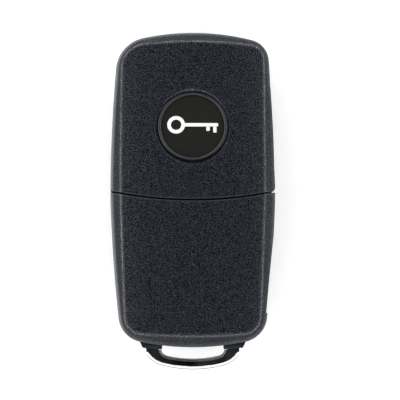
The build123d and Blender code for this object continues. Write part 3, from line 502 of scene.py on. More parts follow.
@dataclass(frozen=True)
class PolishedMetal(Finish):
    """Dark plated and polished metal with a painted highlight on its bevels, and hairline marks.
    """

    base: Colour
    edge: Colour
    roughness: float = 0.08
    scratch: float = 0.1
    film: float = 0.22
    hairline_scale: float = 900.0
    hairline_stretch: Triple = (1.0, 7.0, 7.0)
    hairline_step: Span = (0.52, 0.7)
    hairline_depth: float = 0.001 * MM
    cloud_scale: float = 160.0
    cloud_share: float = 0.35
    darker: float = 0.9
    film_step: Span = (0.35, 0.65)
    bevel_rise: Span = (0.3, 0.6)
    bevel_fall: Span = (0.8, 0.95)

    def surface(self, graph: Graph) -> dict[str, Any]:
        """Long thin noise stands for hairlines, and a cloud of grime dulls the plate.

        Args:
            graph: The material's node tree.

        Returns:
            The shader's sockets and their values.
        """
        place = graph.stretched(self.hairline_stretch)
        lines = graph.noise(self.hairline_scale, detail=3.0, rough=0.7, at=place)
        cloud = graph.noise(self.cloud_scale)
        level = graph.lean()
        # Painted highlight: faces between level and upright take the pale edge colour.
        bevel = level.step(*self.bevel_rise) * (1.0 - level.step(*self.bevel_fall))
        darker = scaled(self.base, self.darker)
        plate = graph.blend(cloud * self.cloud_share, self.base, darker)
        return {
            "Base Color": graph.blend(bevel, plate, self.edge),
            "Metallic": 1.0 - cloud.step(*self.film_step) * self.film,
            "Roughness": self.roughness + lines.step(*self.hairline_step) * self.scratch,
            "Normal": graph.bump(lines, self.hairline_depth),
        }


@dataclass(frozen=True)
class GroundSteel(Finish):
    """Steel with grinding lines along one axis."""

    base: Colour
    roughness: float = 0.3
    line_stretch: Triple = (14.0, 0.5, 14.0)
    line_scale: float = 420.0
    line_swing: float = 0.25
    depth: float = 0.003 * MM
    stain_scale: float = 210.0
    stain_share: float = 0.6
    stained: float = 0.8

    def surface(self, graph: Graph) -> dict[str, Any]:
        """Noise drawn out along the grinding direction, and stains from a broad noise.

        Args:
            graph: The material's node tree.

        Returns:
            The shader's sockets and their values.
        """
        place = graph.stretched(self.line_stretch)
        lines = graph.noise(self.line_scale, detail=4.0, rough=0.65, at=place)
        stain = graph.noise(self.stain_scale, detail=3.0, rough=0.6)
        stained = scaled(self.base, self.stained)
        return {
            "Base Color": graph.blend(stain * self.stain_share, self.base, stained),
            "Metallic": 1.0,
            "Roughness": self.roughness + (lines - 0.5) * self.line_swing,
            "Normal": graph.bump(lines, self.depth),
        }


@dataclass(frozen=True)
class Silicone(Finish):
    """Soft grey silicone with dust."""

    base: Colour
    roughness: float = 0.62
    dust_and_gap_shade: Colour = (0.7, 0.7, 0.68)
    dust_scale: float = 2400.0
    dust_step: Span = (0.55, 0.8)
    dust_share: float = 0.25
    skin_scale: float = 900.0
    skin_depth: float = 0.01 * MM

    def surface(self, graph: Graph) -> dict[str, Any]:
        """Dust from a fine noise lightens the base.

        Args:
            graph: The material's node tree.

        Returns:
            The shader's sockets and their values.
        """
        dusty = graph.noise(self.dust_scale).step(*self.dust_step) * self.dust_share
        return {
            "Base Color": graph.blend(dusty, self.base, self.dust_and_gap_shade),
            "Roughness": self.roughness,
            "Normal": graph.bump(graph.noise(self.skin_scale), self.skin_depth),
        }


@dataclass(frozen=True)
class Laminate(Finish):
    """Circuit board: green mask over copper tracks, on a grid of rows and columns."""

    mask: Colour = (0.006, 0.085, 0.035)
    track: Colour = (0.02, 0.19, 0.07)
    pitch: float = 1.27 * MM
    track_step: Span = (0.55, 0.7)
    track_height: float = 0.03 * MM
    patch_scale: float = 230.0
    patch_share: float = 0.5
    gap_scale: float = 340.0
    gap_share: float = 0.46
    roughness: float = 0.3

    def surface(self, graph: Graph) -> dict[str, Any]:
        """Tracks run along X or Y, chosen by patches of noise, where a sine is near its top.

        Args:
            graph: The material's node tree.

        Returns:
            The shader's sockets and their values.
        """
        turn = math.tau / self.pitch
        across = (graph.along(0) * turn).sine().step(*self.track_step)
        down = (graph.along(1) * turn).sine().step(*self.track_step)
        patch = graph.noise(self.patch_scale, detail=0.0).above(self.patch_share)
        gap = graph.noise(self.gap_scale, detail=1.0).above(self.gap_share)
        lines = (across * patch + down * (1.0 - patch)) * gap
        return {
            "Base Color": graph.blend(lines, self.mask, self.track),
            "Roughness": self.roughness,
            "Normal": graph.bump(lines, self.track_height),
        }


@dataclass(frozen=True)
class ClearBody(Finish):
    """Glass or clear resin with a slight tint."""

    base: Colour
    roughness: float = 0.05
    clear: float = 0.85
    index: float = 1.5
    cloud_scale: float = 700.0
    cloud_swing: float = 0.04
    cloud_share: float = 0.3
    darker: float = 0.85

    def surface(self, graph: Graph) -> dict[str, Any]:
        """A faint cloud in the colour and roughness, and light let through.

        Args:
            graph: The material's node tree.

        Returns:
            The shader's sockets and their values.
        """
        cloud = graph.noise(self.cloud_scale)
        darker = scaled(self.base, self.darker)
        return {
            "Base Color": graph.blend(cloud * self.cloud_share, self.base, darker),
            "Roughness": self.roughness + cloud * self.cloud_swing,
            "Transmission Weight": self.clear,
            "IOR": self.index,
        }


class Finishes:
    """Every finish of the key, made once and looked up by the record's slot."""

    def __init__(self) -> None:
        """Builds the materials, and three more for the signs and the badge's bezel."""
        self.by_slot: dict[str, bpy.types.Material] = {
            slot: finish.material(f"{slot}_finish") for slot, finish in self.table().items()
        }
        self.print = SatinPlastic((0.78, 0.78, 0.76), 0.5).material("print_finish")
        self.bezel = SatinPlastic((0.012, 0.014, 0.018), 0.34).material("bezel_finish")
        self.sign = SatinPlastic((0.8, 0.81, 0.82), 0.28).material("sign_finish")

    @staticmethod
    def table() -> dict[str, Finish]:
        """Lists the finishes.

        Returns:
            The record's slots and the finish of each.
        """
        return {
            "shell": PartedPlastic((0.0008, 0.001, 0.0016), (0.05, 0.058, 0.077)),
            "button": GrainedPlastic(
                (0.006, 0.007, 0.009),
                (0.022, 0.024, 0.028),
                grain_size=0.2 * MM,
                grain_depth=0.01 * MM,
            ),
            "badge": SatinPlastic((0.0105, 0.0098, 0.0082), 0.4, specular=0.22),
            # The loop's second colour is a painted highlight on its bevels.
            "loop": PolishedMetal((0.13, 0.13, 0.12), (0.9, 0.9, 0.87), 0.05, scratch=0.06),
            "steel": GroundSteel((0.55, 0.55, 0.55), 0.28, line_stretch=(4.0, 4.0, 4.0)),
            "blade": GroundSteel((0.66, 0.66, 0.65), 0.26),
            "drum": GroundSteel((0.4, 0.4, 0.41), 0.38, line_stretch=(3.0, 3.0, 3.0)),
            "release": SatinPlastic((0.09, 0.092, 0.097), 0.36),
            "cell": GroundSteel((0.72, 0.72, 0.71), 0.22, line_stretch=(2.0, 9.0, 2.0)),
            "contact": GroundSteel((0.75, 0.62, 0.34), 0.25, line_stretch=(3.0, 3.0, 3.0)),
            "silicone": Silicone((0.42, 0.43, 0.45)),
            "board": Laminate(),
            "switch": SatinPlastic((0.025, 0.025, 0.026), 0.4),
            "chip": SatinPlastic((0.012, 0.012, 0.013), 0.5),
            "ferrite": SatinPlastic((0.03, 0.028, 0.028), 0.55),
            "lens": ClearBody((0.75, 0.05, 0.04), 0.08, clear=0.5),
            "capsule": ClearBody((0.8, 0.85, 0.84), 0.04),
        }

    def dress(self, frame: dict[str, Any]) -> None:
        """Gives each CAD node the finish of its slot.
        """
        slots = {row["node"]: row["material_slot"] for row in frame["record"]["subparts"]}
        for name, node in frame["nodes"].items():
            node.data.materials.clear()
            node.data.materials.append(self.by_slot[slots[name]])
            LOG.info("dressed %s in %s", name, slots[name])


# Meshes


def linked(name: str, data: Any) -> bpy.types.Object:
    """Makes an object at the origin, links it into the scene and reports it.

    Args:
        name: The object's name.
        data: Its mesh, camera or light.

    Returns:
        The object.
    """
    made = bpy.data.objects.new(name, data)
    bpy.context.scene.collection.objects.link(made)
    LOG.info("made %s", name)
    return made


def mesh_piece(name: str, points: Array, faces: list[tuple[int, ...]]) -> bpy.types.Object:
    """Makes an object from points in millimetres and faces that point outwards.

    Args:
        name: The object's name.
        points: An array of N by 3.
        faces: Indices of each face's corners, anticlockwise from outside.

    Returns:
        The object, linked into the scene at the origin.
    """
    data = bpy.data.meshes.new(name)
    data.from_pydata((points * MM).tolist(), [], faces)
    data.validate()
    data.update()
    return linked(name, data)


def grid_faces(rows: int, columns: int, looped: bool = False) -> list[tuple[int, ...]]:
    """Quads between neighbouring rows of a grid of points, whose rows close on themselves.

    Args:
        rows: Number of rows.
        columns: Number of points in a row.
        looped: Whether the last row joins the first.

    Returns:
        The faces' corner indices.
    """
    row, column = np.meshgrid(np.arange(rows - (not looped)), np.arange(columns), indexing="ij")
    after = (column + 1) % columns
    here, above = row * columns, (row + 1) % rows * columns
    quads = np.stack((here + column, here + after, above + after, above + column), axis=-1)
    return [tuple(quad) for quad in quads.reshape(-1, 4).tolist()]


def ends(count: int, total: int, up: bool = True) -> list[tuple[int, ...]]:
    """Caps for the last and the first row of a grid of points.

    Args:
        count: Number of points in a row.
        total: Number of points in all.
        up: Whether the rows run round anticlockwise, seen from beyond the last one.

    Returns:
        The last row's face and the first row's.
    """
    last, first = tuple(range(total - count, total)), tuple(range(count))
    return [last, first[::-1]] if up else [first, last[::-1]]


def smooth(data: bpy.types.Mesh) -> None:
    """Shades every face smooth."""
    data.polygons.foreach_set("use_smooth", np.ones(len(data.polygons), bool))


def block(left: float, low: float, right: float, high: float) -> tuple[Span, ...]:
    """Corners of a rectangle, anticlockwise."""
    return (left, low), (right, low), (right, high), (left, high)


@dataclass
class Plaque:
    """A thin raised shape on a plane, with an edge that slopes in to its top."""

    thickness: float = 0.06
    slope: float = 0.03
    turns: int = 56

    def build(self, name: str, outline: Array, lift: Callable[[Array], Array]) -> bpy.types.Object:
        """Walls from the outline at height 0 to the outline drawn in at the top, and a cap.

        Args:
            name: The piece's name.
            outline: Corners of a closed outline, N by 2, anticlockwise.
            lift: Maps points of the plaque's own plane, N by 3, into the row frame.

        Returns:
            The piece.
        """
        inner = inset_outline(outline, self.slope)
        count = len(outline)
        step = self.thickness - self.slope
        points = lift(stacked([(outline, 0.0), (outline, step), (inner, self.thickness)]))
        return mesh_piece(name, points, grid_faces(3, count) + ends(count, 3 * count))

    def build_ring(
        self, name: str, centre: Span, outer: float, inner: float, lift: Callable[[Array], Array]
    ) -> bpy.types.Object:
        """A closed ring: a six-cornered section carried round a circle.

        Args:
            name: The piece's name.
            centre: The ring's middle in its own plane.
            outer: Outer radius.
            inner: Inner radius.
            lift: Maps points of the plaque's own plane, N by 3, into the row frame.

        Returns:
            The piece.
        """
        step = self.thickness - self.slope
        radii = (outer, outer, outer - self.slope, inner + self.slope, inner, inner)
        heights = (0.0, step, self.thickness, self.thickness, step, 0.0)
        points = turned(np.column_stack((radii, heights)), self.turns, centre)
        return mesh_piece(name, lift(points), grid_faces(len(radii), self.turns, True))


def turned(profile: Array, turns: int, centre: Span = (0.0, 0.0)) -> Array:
    """A profile carried round: centre plus radius times cosine and sine of the turn, and height.

    Args:
        profile: Radius and height, N by 2.
        turns: Number of points in a full turn.
        centre: The middle.

    Returns:
        The points as one array of 3 columns, a full turn for each point of the profile.
    """
    turn = np.linspace(0, math.tau, turns, endpoint=False)[None, :]
    reach = profile[:, :1]
    across, along = centre[0] + reach * np.cos(turn), centre[1] + reach * np.sin(turn)
    high = np.broadcast_to(profile[:, 1:], across.shape)
    return np.stack((across, along, high), axis=-1).reshape(-1, 3)


def stacked(rows: Sequence[tuple[Array, float]]) -> Array:
    """Points of outlines of one length, each with its height, as one array of N by 3."""
    return np.vstack([np.column_stack((line, np.full(len(line), z))) for line, z in rows])


def lengths(vectors: Array, least: float = TINY) -> Array:
    """Length of each row, or a least one where it is shorter, as a column."""
    return np.maximum(np.linalg.norm(vectors, axis=1, keepdims=True), least)


def inset_outline(outline: Array, amount: float) -> Array:
    """Moves each corner inwards along the mean of its two edges' inward normals.

    Args:
        outline: Corners, N by 2, anticlockwise.
        amount: How far each edge moves.

    Returns:
        The moved corners.
    """
    ahead = np.roll(outline, -1, axis=0) - outline
    ahead /= lengths(ahead)
    behind = np.roll(ahead, 1, axis=0)
    normal = np.column_stack((-(ahead + behind)[:, 1], (ahead + behind)[:, 0]))
    length = lengths(normal, SHARPEST)
    return outline + normal / length * amount * 2.0 / length


def rounded(corners: Sequence[Span], radius: float, steps: int = 6) -> Array:
    """A polygon with each corner replaced by an arc that touches both edges.

    The arc is a rational curve of the second degree: its middle point is the corner, whose
    weight is the sine of half the corner's angle.

    Args:
        corners: The polygon's corners, anticlockwise.
        radius: The arcs' radius, made smaller where an arc would take more than CORNER_SHARE
            of an edge.
        steps: Points in each arc.

    Returns:
        The points, N by 2.
    """
    points = np.array(corners, float)
    before, after = np.roll(points, 1, axis=0), np.roll(points, -1, axis=0)
    into, out = before - points, after - points
    room = CORNER_SHARE * np.minimum(lengths(into), lengths(out))
    into /= lengths(into)
    out /= lengths(out)
    half = np.arccos(np.clip((into * out).sum(1, keepdims=True), -1, 1)) / 2
    reach = np.minimum(radius / np.tan(half), room)
    t = np.linspace(0, 1, steps)[None, :, None]
    start = (points + into * reach)[:, None, :]
    end = (points + out * reach)[:, None, :]
    middle = points[:, None, :]
    weight = np.sin(half)[:, :, None]
    top = (1 - t) ** 2 * start + 2 * t * (1 - t) * weight * middle + t**2 * end
    low = (1 - t) ** 2 + 2 * t * (1 - t) * weight + t**2
    return (top / low).reshape(-1, 2)


def arch(centre: Span, outer: float, inner: float, steps: int = 24) -> Array:
    """Outline of the upper half of a flat ring: centre plus radius times cosine and sine.

    Args:
        centre: The ring's middle.
        outer: Outer radius.
        inner: Inner radius.
        steps: Points in each half circle.

    Returns:
        The points, N by 2, anticlockwise.
    """
    turn = np.radians(np.linspace(0.0, 180.0, steps))
    circle = np.column_stack((np.cos(turn), np.sin(turn)))
    return np.array(centre) + np.vstack((outer * circle, inner * circle[::-1]))


# Sub-assemblies


@dataclass
class Badge:
    """The round badge: a flat face, the beaded bezel around it, and a plain key sign on it.

    The sign's bits are each given by how far their sides lie from the shaft's tip, and by where
    they end.
    """

    centre_y: float = 15.8
    crown_y: float = 1.7
    crown_radius: float = 260.0
    crown_top: float = 15.6
    recess_depth: float = 1.28
    disc_thickness: float = 0.5
    shift_y: float = 0.19
    face_radius: float = 6.95
    face_gap: float = 0.02
    face_bevel: float = 0.06
    bead_radius: float = 0.33
    bead_gap: float = 0.03
    bead_z: float = -0.04
    bead_steps: int = 13
    bezel_gap: float = 0.01
    foot_radius: float = 7.38
    foot_slope: float = 0.36
    turns: int = 120
    sharp: float = 40.0
    sign_length: float = 11.2
    bow_radius: float = 1.95
    bow_hole: float = 1.15
    bow_y: float = 0.32
    shaft_start: float = 0.15
    shaft: Span = (-0.05, 0.7)
    shaft_corner: float = 0.15
    bits: tuple[Triple, ...] = ((1.1, 0.35, -1.4), (2.6, 1.85, -1.0))
    bit_top: float = -0.1
    bit_corner: float = 0.12
    plaque: Plaque = field(default_factory=lambda: Plaque(0.07, 0.03))

    def lift(self, points: Array) -> Array:
        """Places points of the badge's own plane on the top of the disc.

        The plane leans with the crown: it is turned about X by the crown's angle at the badge,
        whose sine is the way from the crown's middle to the badge's over the crown's radius.

        Args:
            points: N by 3, X and Y in the plane and Z out of it.

        Returns:
            The points in the row frame.
        """
        swing = math.asin((self.centre_y - self.crown_y) / self.crown_radius)
        up = np.array((0.0, math.sin(swing), math.cos(swing)))
        along = np.array((0.0, math.cos(swing), -math.sin(swing)))
        sinks = self.crown_radius * (1 - math.cos(swing))
        surface = np.array((0.0, self.centre_y, self.crown_top - sinks))
        origin = surface + up * (self.disc_thickness - self.recess_depth) + along * self.shift_y
        across = np.array((1.0, 0.0, 0.0))
        return origin + points[:, :1] * across + points[:, 1:2] * along + points[:, 2:] * up

    def build_face(self, finishes: Finishes) -> None:
        """The flat disc with a small bevel, in the place of the CAD's disc.

        Args:
            finishes: The key's finishes.
        """
        low, bevel, outer = self.face_gap - self.disc_thickness, self.face_bevel, self.face_radius
        profile = np.array(((outer, low), (outer, -bevel), (outer - bevel, 0.0)))
        points = self.lift(turned(profile, self.turns))
        faces = grid_faces(len(profile), self.turns) + ends(self.turns, len(points))
        made = mesh_piece("badge_face", points, faces)
        made.data.materials.append(finishes.by_slot["badge"])
        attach(made, "head")
        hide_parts("badge_disc")

    def build_bezel(self, finishes: Finishes) -> None:
        """A ring at the foot of the recess: a sloping foot and a half-round bead over it.

        A point of the bead is its middle plus its radius times cosine and sine of the turn.

        Args:
            finishes: The key's finishes.
        """
        low = self.bezel_gap - self.disc_thickness
        middle = self.face_radius + self.bead_gap + self.bead_radius
        turn = np.radians(np.linspace(0, 180, self.bead_steps))
        across = middle + self.bead_radius * np.cos(turn)
        bead = np.column_stack((across, self.bead_z + self.bead_radius * np.sin(turn)))
        foot, rise = self.foot_radius, self.foot_slope
        wall = np.array(((foot, low), (foot + rise, low + rise)))
        inside = np.array(((middle - self.bead_radius, low),))
        profile = np.vstack((wall, bead, inside))
        points = self.lift(turned(profile, self.turns))
        made = mesh_piece("badge_bezel", points, grid_faces(len(profile), self.turns, True))
        smooth(made.data)
        made.data.set_sharp_from_angle(angle=math.radians(self.sharp))
        made.data.materials.append(finishes.bezel)
        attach(made, "head")

    def outlines(self) -> list[Array]:
        """The sign's straight shapes.

        Returns:
            The outlines of the shaft and the two bits.
        """
        half = self.sign_length / 2
        start = 2 * self.bow_radius - self.shaft_start - half
        bits = [
            rounded(block(half - far, low, half - near, self.bit_top), self.bit_corner)
            for far, near, low in self.bits
        ]
        low, high = self.shaft
        return [rounded(block(start, low, half, high), self.shaft_corner), *bits]

    def build(self, finishes: Finishes) -> None:
        """Makes the face, the bezel and the sign's pieces, which ride on the head.

        Args:
            finishes: The key's finishes.
        """
        self.build_face(finishes)
        self.build_bezel(finishes)
        bow = (self.bow_radius - self.sign_length / 2, self.bow_y)
        outer, inner = self.bow_radius, self.bow_hole
        made = [self.plaque.build_ring("badge_sign_bow", bow, outer, inner, self.lift)]
        for number, outline in enumerate(self.outlines()):
            made.append(self.plaque.build(f"badge_sign_{number}", outline, self.lift))
        for piece in made:
            piece.data.materials.append(finishes.sign)
            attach(piece, "head")


class Symbol(Enum):
    """Signs printed on the three keys."""

    LOCKED = "lock"
    UNLOCKED = "unlock"
    BOOT = "trunk"


@dataclass
class KeySigns:
    """Printed signs on the faces of the three keys, seen from below."""

    first_y: float = -9.7
    pitch: float = 7.1
    face_z: float = 0.45
    thickness: float = 0.03
    corner: float = 0.25
    car: tuple[Span, ...] = (
        (-3.0, -1.0),
        (3.0, -1.0),
        (3.0, 0.1),
        (1.7, 0.25),
        (0.9, 1.1),
        (-0.9, 1.1),
        (-1.9, 0.15),
        (-3.0, 0.0),
    )
    boot_lid: tuple[Span, ...] = ((2.0, 0.55), (2.35, 0.4), (3.3, 1.55), (3.0, 1.75))
    body: tuple[float, float, float, float] = (-1.3, -1.5, 1.3, 0.2)
    shackle_y: float = 0.75
    shackle_outer: float = 0.95
    shackle_inner: float = 0.6
    swung: float = 1.5
    leg: Span = (0.22, 0.74)
    leg_corner: float = 0.02

    def outlines(self, symbol: Symbol) -> list[Array]:
        """Shapes of one sign.

        Args:
            symbol: The sign.

        Returns:
            The outlines about the sign's own middle, as seen on the face.
        """
        if symbol is Symbol.BOOT:
            return [rounded(self.car, self.corner), np.array(self.boot_lid)]
        locked = symbol is Symbol.LOCKED
        side = 0.0 if locked else self.swung
        outer, inner = self.shackle_outer, self.shackle_inner
        shackle = arch((side, self.shackle_y), outer, inner)
        low, high = self.leg
        legs = [
            rounded(block(side + x, low, side + x + (outer - inner), high), self.leg_corner)
            for x in ((-outer, inner) if locked else (-outer,))
        ]
        return [rounded(block(*self.body), self.corner), shackle, *legs]

    def build(self, finishes: Finishes) -> None:
        """Prints each key's sign. It faces down, so its own X runs along the frame's -X.

        Args:
            finishes: The key's finishes.
        """
        plaque = Plaque(self.thickness, self.thickness / 2)
        for row, symbol in enumerate(Symbol):
            middle = self.first_y - row * self.pitch

            def lift(points: Array, middle: float = middle) -> Array:
                """Turns the sign about Y, so that it faces -Z at its key."""
                across, along, out = points.T
                return np.column_stack((-across, middle + along, self.face_z - out))

            for number, outline in enumerate(self.outlines(symbol)):
                made = plaque.build(f"{symbol.value}_sign_{number}", outline, lift)
                made.data.materials.append(finishes.print)
                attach(made, symbol.value)


@dataclass
class CoilSpring:
    """The flip spring, redrawn as a helix in place of the CAD's spring."""

    x: float = 9.5
    y: float = 27.6
    low_z: float = 8.3
    high_z: float = 11.15
    radius: float = 2.2
    wire: float = 0.25
    turns: float = 3.0
    along: int = 160
    around: int = 12

    def build(self, finishes: Finishes) -> None:
        """A circle carried along a helix.

        A point is centre plus radius times (cosine, sine) of the turn, rising evenly, plus the
        wire's radius times (cosine of its own angle outwards, sine of it upwards).

        Args:
            finishes: The key's finishes.
        """
        turn = np.linspace(0, math.tau * self.turns, self.along)[:, None]
        own = np.linspace(0, math.tau, self.around, endpoint=False)[None, :]
        reach = self.radius + self.wire * np.cos(own)
        rise = self.low_z + (self.high_z - self.low_z) * turn / (math.tau * self.turns)
        across, along = self.x + reach * np.cos(turn), self.y + reach * np.sin(turn)
        points = np.stack((across, along, rise + self.wire * np.sin(own)), axis=-1).reshape(-1, 3)
        faces = [face[::-1] for face in grid_faces(self.along, self.around)]
        faces += ends(self.around, len(points), up=False)
        made = mesh_piece("coil_spring", points, faces)
        smooth(made.data)
        made.data.materials.append(finishes.by_slot["steel"])
        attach(made, "head")
        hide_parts("flip_spring")
        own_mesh(made)


@dataclass
class ButtonMat:
    """The silicone mat: a frame all round, and under each key a pad with a post on its back.

    The pads are pieces of their own, one under each key.
    """

    pad_half_x: float = 7.6
    pad_half_y: float = 3.5
    pad_corner: float = 2.9
    gap: float = 0.1
    base: float = 0.5
    post_radius: float = 1.2
    post_height: float = 0.2
    pad_bevel: float = 0.12
    foot_slope: Span = (0.12, 0.06)
    post_bevel: float = 0.05
    frame_corner: float = 0.5
    hole_corner: float = 0.3
    clearance: float = 0.05

    def build_frame(self, finishes: Finishes) -> None:
        """Carries a rectangular section round the mat: outside up, then inside down.

        Args:
            finishes: The key's finishes.
        """
        low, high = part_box("button_mat")
        x, top, bottom = high[0] / MM, high[1] / MM, low[1] / MM
        foot, head = low[2] / MM, high[2] / MM
        first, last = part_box("lock_button"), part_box("trunk_button")
        hole_top = (first[0][1] + first[1][1]) / 2 / MM + self.pad_half_y + self.clearance
        hole_bottom = (last[0][1] + last[1][1]) / 2 / MM - self.pad_half_y - self.clearance
        hole_x = self.pad_half_x + self.clearance
        outer = rounded(block(-x, bottom, x, top), self.frame_corner)
        inner = rounded(block(-hole_x, hole_bottom, hole_x, hole_top), self.hole_corner)
        points = stacked([(outer, foot), (outer, head), (inner, head), (inner, foot)])
        made = mesh_piece("mat_frame", points, grid_faces(4, len(outer), True))
        made.data.materials.append(finishes.by_slot["silicone"])
        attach(made, "remote")
        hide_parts("button_mat")

    def build_pad(self, symbol: Symbol, finishes: Finishes) -> None:
        """Carries the pad's outline up its wall, in to a circle, and up the post.

        Args:
            symbol: The key that the pad lies behind.
            finishes: The key's finishes.
        """
        low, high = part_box(f"{symbol.value}_button")
        middle = (low[1] + high[1]) / 2 / MM
        foot = high[2] / MM + self.gap
        top = foot + self.base
        half_x, half_y, bevel = self.pad_half_x, self.pad_half_y, self.pad_bevel
        out, rise = self.foot_slope
        end = top + self.post_height
        wall = rounded(block(-half_x, -half_y, half_x, half_y), self.pad_corner)
        turn = np.arctan2(wall[:, 1], wall[:, 0])
        circle = np.column_stack((np.cos(turn), np.sin(turn)))
        rows = [
            (wall, foot),
            (wall, top - bevel),
            (inset_outline(wall, bevel), top),
            (circle * (self.post_radius + out), top),
            (circle * self.post_radius, top + rise),
            (circle * self.post_radius, end - self.post_bevel),
            (circle * (self.post_radius - self.post_bevel), end),
        ]
        points = stacked(rows)
        points[:, 1] += middle
        faces = grid_faces(len(rows), len(wall)) + ends(len(wall), len(points))
        made = mesh_piece(f"mat_pad_{symbol.value}", points, faces)
        made.data.materials.append(finishes.by_slot["silicone"])
        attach(made, "remote")
        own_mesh(made)

    def build(self, finishes: Finishes) -> None:
        """Makes the frame and the three pads.

        Args:
            finishes: The key's finishes.
        """
        self.build_frame(finishes)
        for symbol in Symbol:
            self.build_pad(symbol, finishes)


@dataclass
class RingLoop:
    """The key ring loop: the CAD's form with the edges of its bevels rounded by polishing.

    Edges over the sharp angle are rounded, and faces within the flat angle are made one, both
    in degrees.
    """

    round: float = 0.16
    steps: int = 4
    sharp: float = 25.0
    draught: float = 0.24
    socket_y: float = -33.6
    fade: float = 0.8
    merge: float = 0.002
    flat: float = 1.0
    belt: float = 0.001

    def widen(self, data: bpy.types.Mesh, middle: float) -> None:
        """Pushes the vertices at half height out along their own level normals.

        The push is the draught, and fades to none over a short length at the sockets.

        Args:
            data: The loop's mesh.
            middle: Height of its middle in metres.
        """
        points = np.empty((len(data.vertices), 3))
        normals = np.empty_like(points)
        data.vertices.foreach_get("co", points.ravel())
        data.vertices.foreach_get("normal", normals.ravel())
        out = normals[:, :2]
        out = out / lengths(out)
        belt = np.abs(points[:, 2] - middle) < self.belt * MM
        share = np.clip((self.socket_y * MM - points[:, 1]) / (self.fade * MM), 0.0, 1.0) * belt
        points[:, :2] += out * share[:, None] * self.draught * MM
        data.vertices.foreach_set("co", points.ravel())
        data.update()

    def build(self, frame: dict[str, Any], finishes: Finishes) -> None:
        """Merges a copy of the CAD mesh, gives its flanks draught and rounds its edges.

        The flanks are cut at half height and the cut is pushed out, so that the widest line
        runs round the middle.

        Args:
            finishes: The key's finishes.
        """
        low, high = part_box("key_ring_loop")
        middle = (low[2] + high[2]) / 2
        mesh = bmesh.new()
        mesh.from_mesh(frame["nodes"]["key_ring_loop"].data)
        bmesh.ops.remove_doubles(mesh, verts=mesh.verts, dist=self.merge * MM)
        bmesh.ops.dissolve_limit(
            mesh,
            angle_limit=math.radians(self.flat),
            verts=mesh.verts,
            edges=mesh.edges,
            delimit={"NORMAL"},
        )
        bmesh.ops.bisect_plane(
            mesh,
            geom=[*mesh.verts, *mesh.edges, *mesh.faces],
            plane_co=(0.0, 0.0, middle),
            plane_no=(0.0, 0.0, 1.0),
        )
        data = bpy.data.meshes.new("polished_loop")
        mesh.to_mesh(data)
        mesh.free()
        self.widen(data, middle)
        made = linked("polished_loop", data)
        bevel = made.modifiers.new("rounding", "BEVEL")
        bevel.width = self.round * MM
        bevel.segments = self.steps
        bevel.limit_method = "ANGLE"
        bevel.angle_limit = math.radians(self.sharp)
        bevel.harden_normals = True
        smooth(data)
        data.materials.clear()
        data.materials.append(finishes.by_slot["loop"])
        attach(made, "remote")
        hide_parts("key_ring_loop")


# Studio


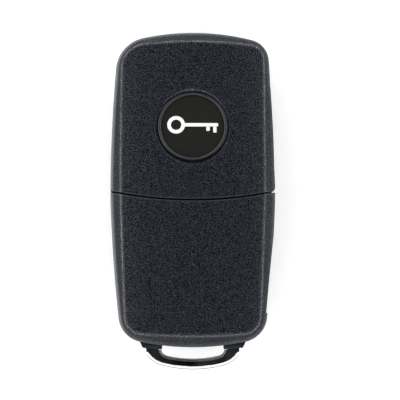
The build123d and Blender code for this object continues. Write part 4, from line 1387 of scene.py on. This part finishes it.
@dataclass
class Studio:
    """Camera almost straight above the key, pale floor and soft dome of light.

    The dome's heights are the sine of the elevation: a pair is where its strength begins to
    change and where the change is done. The floor's and the lamp's sizes are metres.
    """

    frame_width: float = 89.08
    target: Triple = (1.6, 0.13, 7.3)
    elevation: float = 86.5
    lens: float = 200.0
    sensor: float = 36.0
    clip: Span = (0.01, 20.0)
    floor_size: float = 3.0
    floor_drop: float = 0.02 * MM
    floor_glow: float = 0.34
    floor_colour: float = 0.93
    horizon: float = 0.8
    ring: float = 7.5
    sky: float = 0.32
    zenith: float = 0.012
    shown_below: Span = (0.08, 0.12)
    rise: Span = (0.12, 0.18)
    fall: Span = (0.32, 0.42)
    top: Span = (0.967, 0.99)
    lean: float = 0.1
    lean_end: float = 0.6
    lamp_place: Triple = (-0.55, -0.12, 0.3)
    lamp_size: float = 0.35
    lamp_power: float = 0.35

    def camera(self) -> None:
        """Looks along +Y from a little on the loop's side, so the head is up in the picture."""
        distance = self.lens * self.frame_width / self.sensor * MM
        lean = math.radians(self.elevation)
        offset = Vector((0.0, -math.cos(lean), math.sin(lean))) * distance
        data = bpy.data.cameras.new("camera")
        data.lens = self.lens
        data.sensor_width = self.sensor
        data.clip_start, data.clip_end = self.clip
        made = linked("camera", data)
        made.location = Vector(scaled(self.target, MM)) + offset
        made.rotation_euler = (math.radians(90.0 - self.elevation), 0.0, 0.0)
        bpy.context.scene.camera = made

    def floor(self) -> None:
        """A large square just under the key, white where it is seen but for the shadow."""
        half = self.floor_size / 2 / MM
        points = stacked([(np.array(block(-half, -half, half, half)), -self.floor_drop / MM)])
        made = mesh_piece("floor", points, [(0, 1, 2, 3)])
        material = bpy.data.materials.new("floor_finish")
        graph = Graph(material)
        seen = self._seen(graph)
        paint = graph.node("ShaderNodeBsdfDiffuse", {}, {"Color": (self.floor_colour,) * 3})
        strength = seen * self.floor_glow
        glow = graph.node("ShaderNodeEmission", {}, {"Color": WHITE, "Strength": strength})
        both = graph.node("ShaderNodeAddShader", {}, {0: paint, 1: glow})
        graph.node("ShaderNodeOutputMaterial", {}, {"Surface": both})
        made.data.materials.append(material)

    @staticmethod
    def _seen(graph: Graph) -> Wire:
        """Tells the rays of the picture from those that light it.

        Args:
            graph: The node tree of the floor or the world.

        Returns:
            1 for rays from the camera, or that reach it by gloss or through glass, else 0.
        """
        kinds = ("Is Camera Ray", "Is Glossy Ray", "Is Transmission Ray")
        camera, gloss, through = (graph.node("ShaderNodeLightPath", output=k) for k in kinds)
        return (camera + gloss + through).kept()

    def world(self) -> None:
        """A dome with a bright ring low down, a dim sky and a dark cap.

        The camera sees it white. Gloss and glass see it white below the ring, where it is the
        background behind the floor, and above that they see the light itself.
        """
        made = bpy.data.worlds.new("world")
        bpy.context.scene.world = made
        graph = Graph(made)
        place = graph.node("ShaderNodeTexCoord", output="Generated")
        side, end, height = (
            graph.node("ShaderNodeSeparateXYZ", {}, {0: place}, output=axis) for axis in range(3)
        )
        fall = height.step(*self.fall)
        strength = self.horizon + (self.ring - self.horizon) * height.step(*self.rise)
        strength = strength - (self.ring - self.sky) * fall
        strength = strength - (self.sky - self.zenith) * height.step(*self.top)
        strength = strength * (1.0 + (end * self.lean_end - side) * (1.0 - fall) * self.lean)
        camera = graph.node("ShaderNodeLightPath", output="Is Camera Ray")
        white = self._seen(graph).smaller(camera + 1.0 - height.step(*self.shown_below))
        strength = white + (1.0 - white) * strength
        back = graph.node("ShaderNodeBackground", {}, {"Color": WHITE, "Strength": strength})
        graph.node("ShaderNodeOutputWorld", {}, {"Surface": back})

    def lamp(self) -> None:
        """One square soft lamp at the left, which faces the key."""
        data = bpy.data.lights.new("left_lamp", "AREA")
        data.shape = "SQUARE"
        data.size = self.lamp_size
        data.energy = self.lamp_power
        made = linked("left_lamp", data)
        made.location = self.lamp_place
        made.rotation_euler = Vector(self.lamp_place).to_track_quat("Z", "Y").to_euler()

    def build(self) -> None:
        """Sets the view transform, camera, floor, dome and lamp."""
        bpy.context.scene.view_settings.view_transform = "Standard"
        self.camera()
        self.floor()
        self.world()
        self.lamp()


def main() -> None:
    """Loads the frame, dresses it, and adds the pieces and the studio."""
    logging.basicConfig(level=logging.INFO, format="%(message)s")
    for existing in list(bpy.data.objects):
        bpy.data.objects.remove(existing)
    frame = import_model()
    finishes = Finishes()
    finishes.dress(frame)
    Badge().build(finishes)
    KeySigns().build(finishes)
    CoilSpring().build(finishes)
    ButtonMat().build(finishes)
    RingLoop().build(frame, finishes)
    Studio().build()


if __name__ == "__main__":
    main()
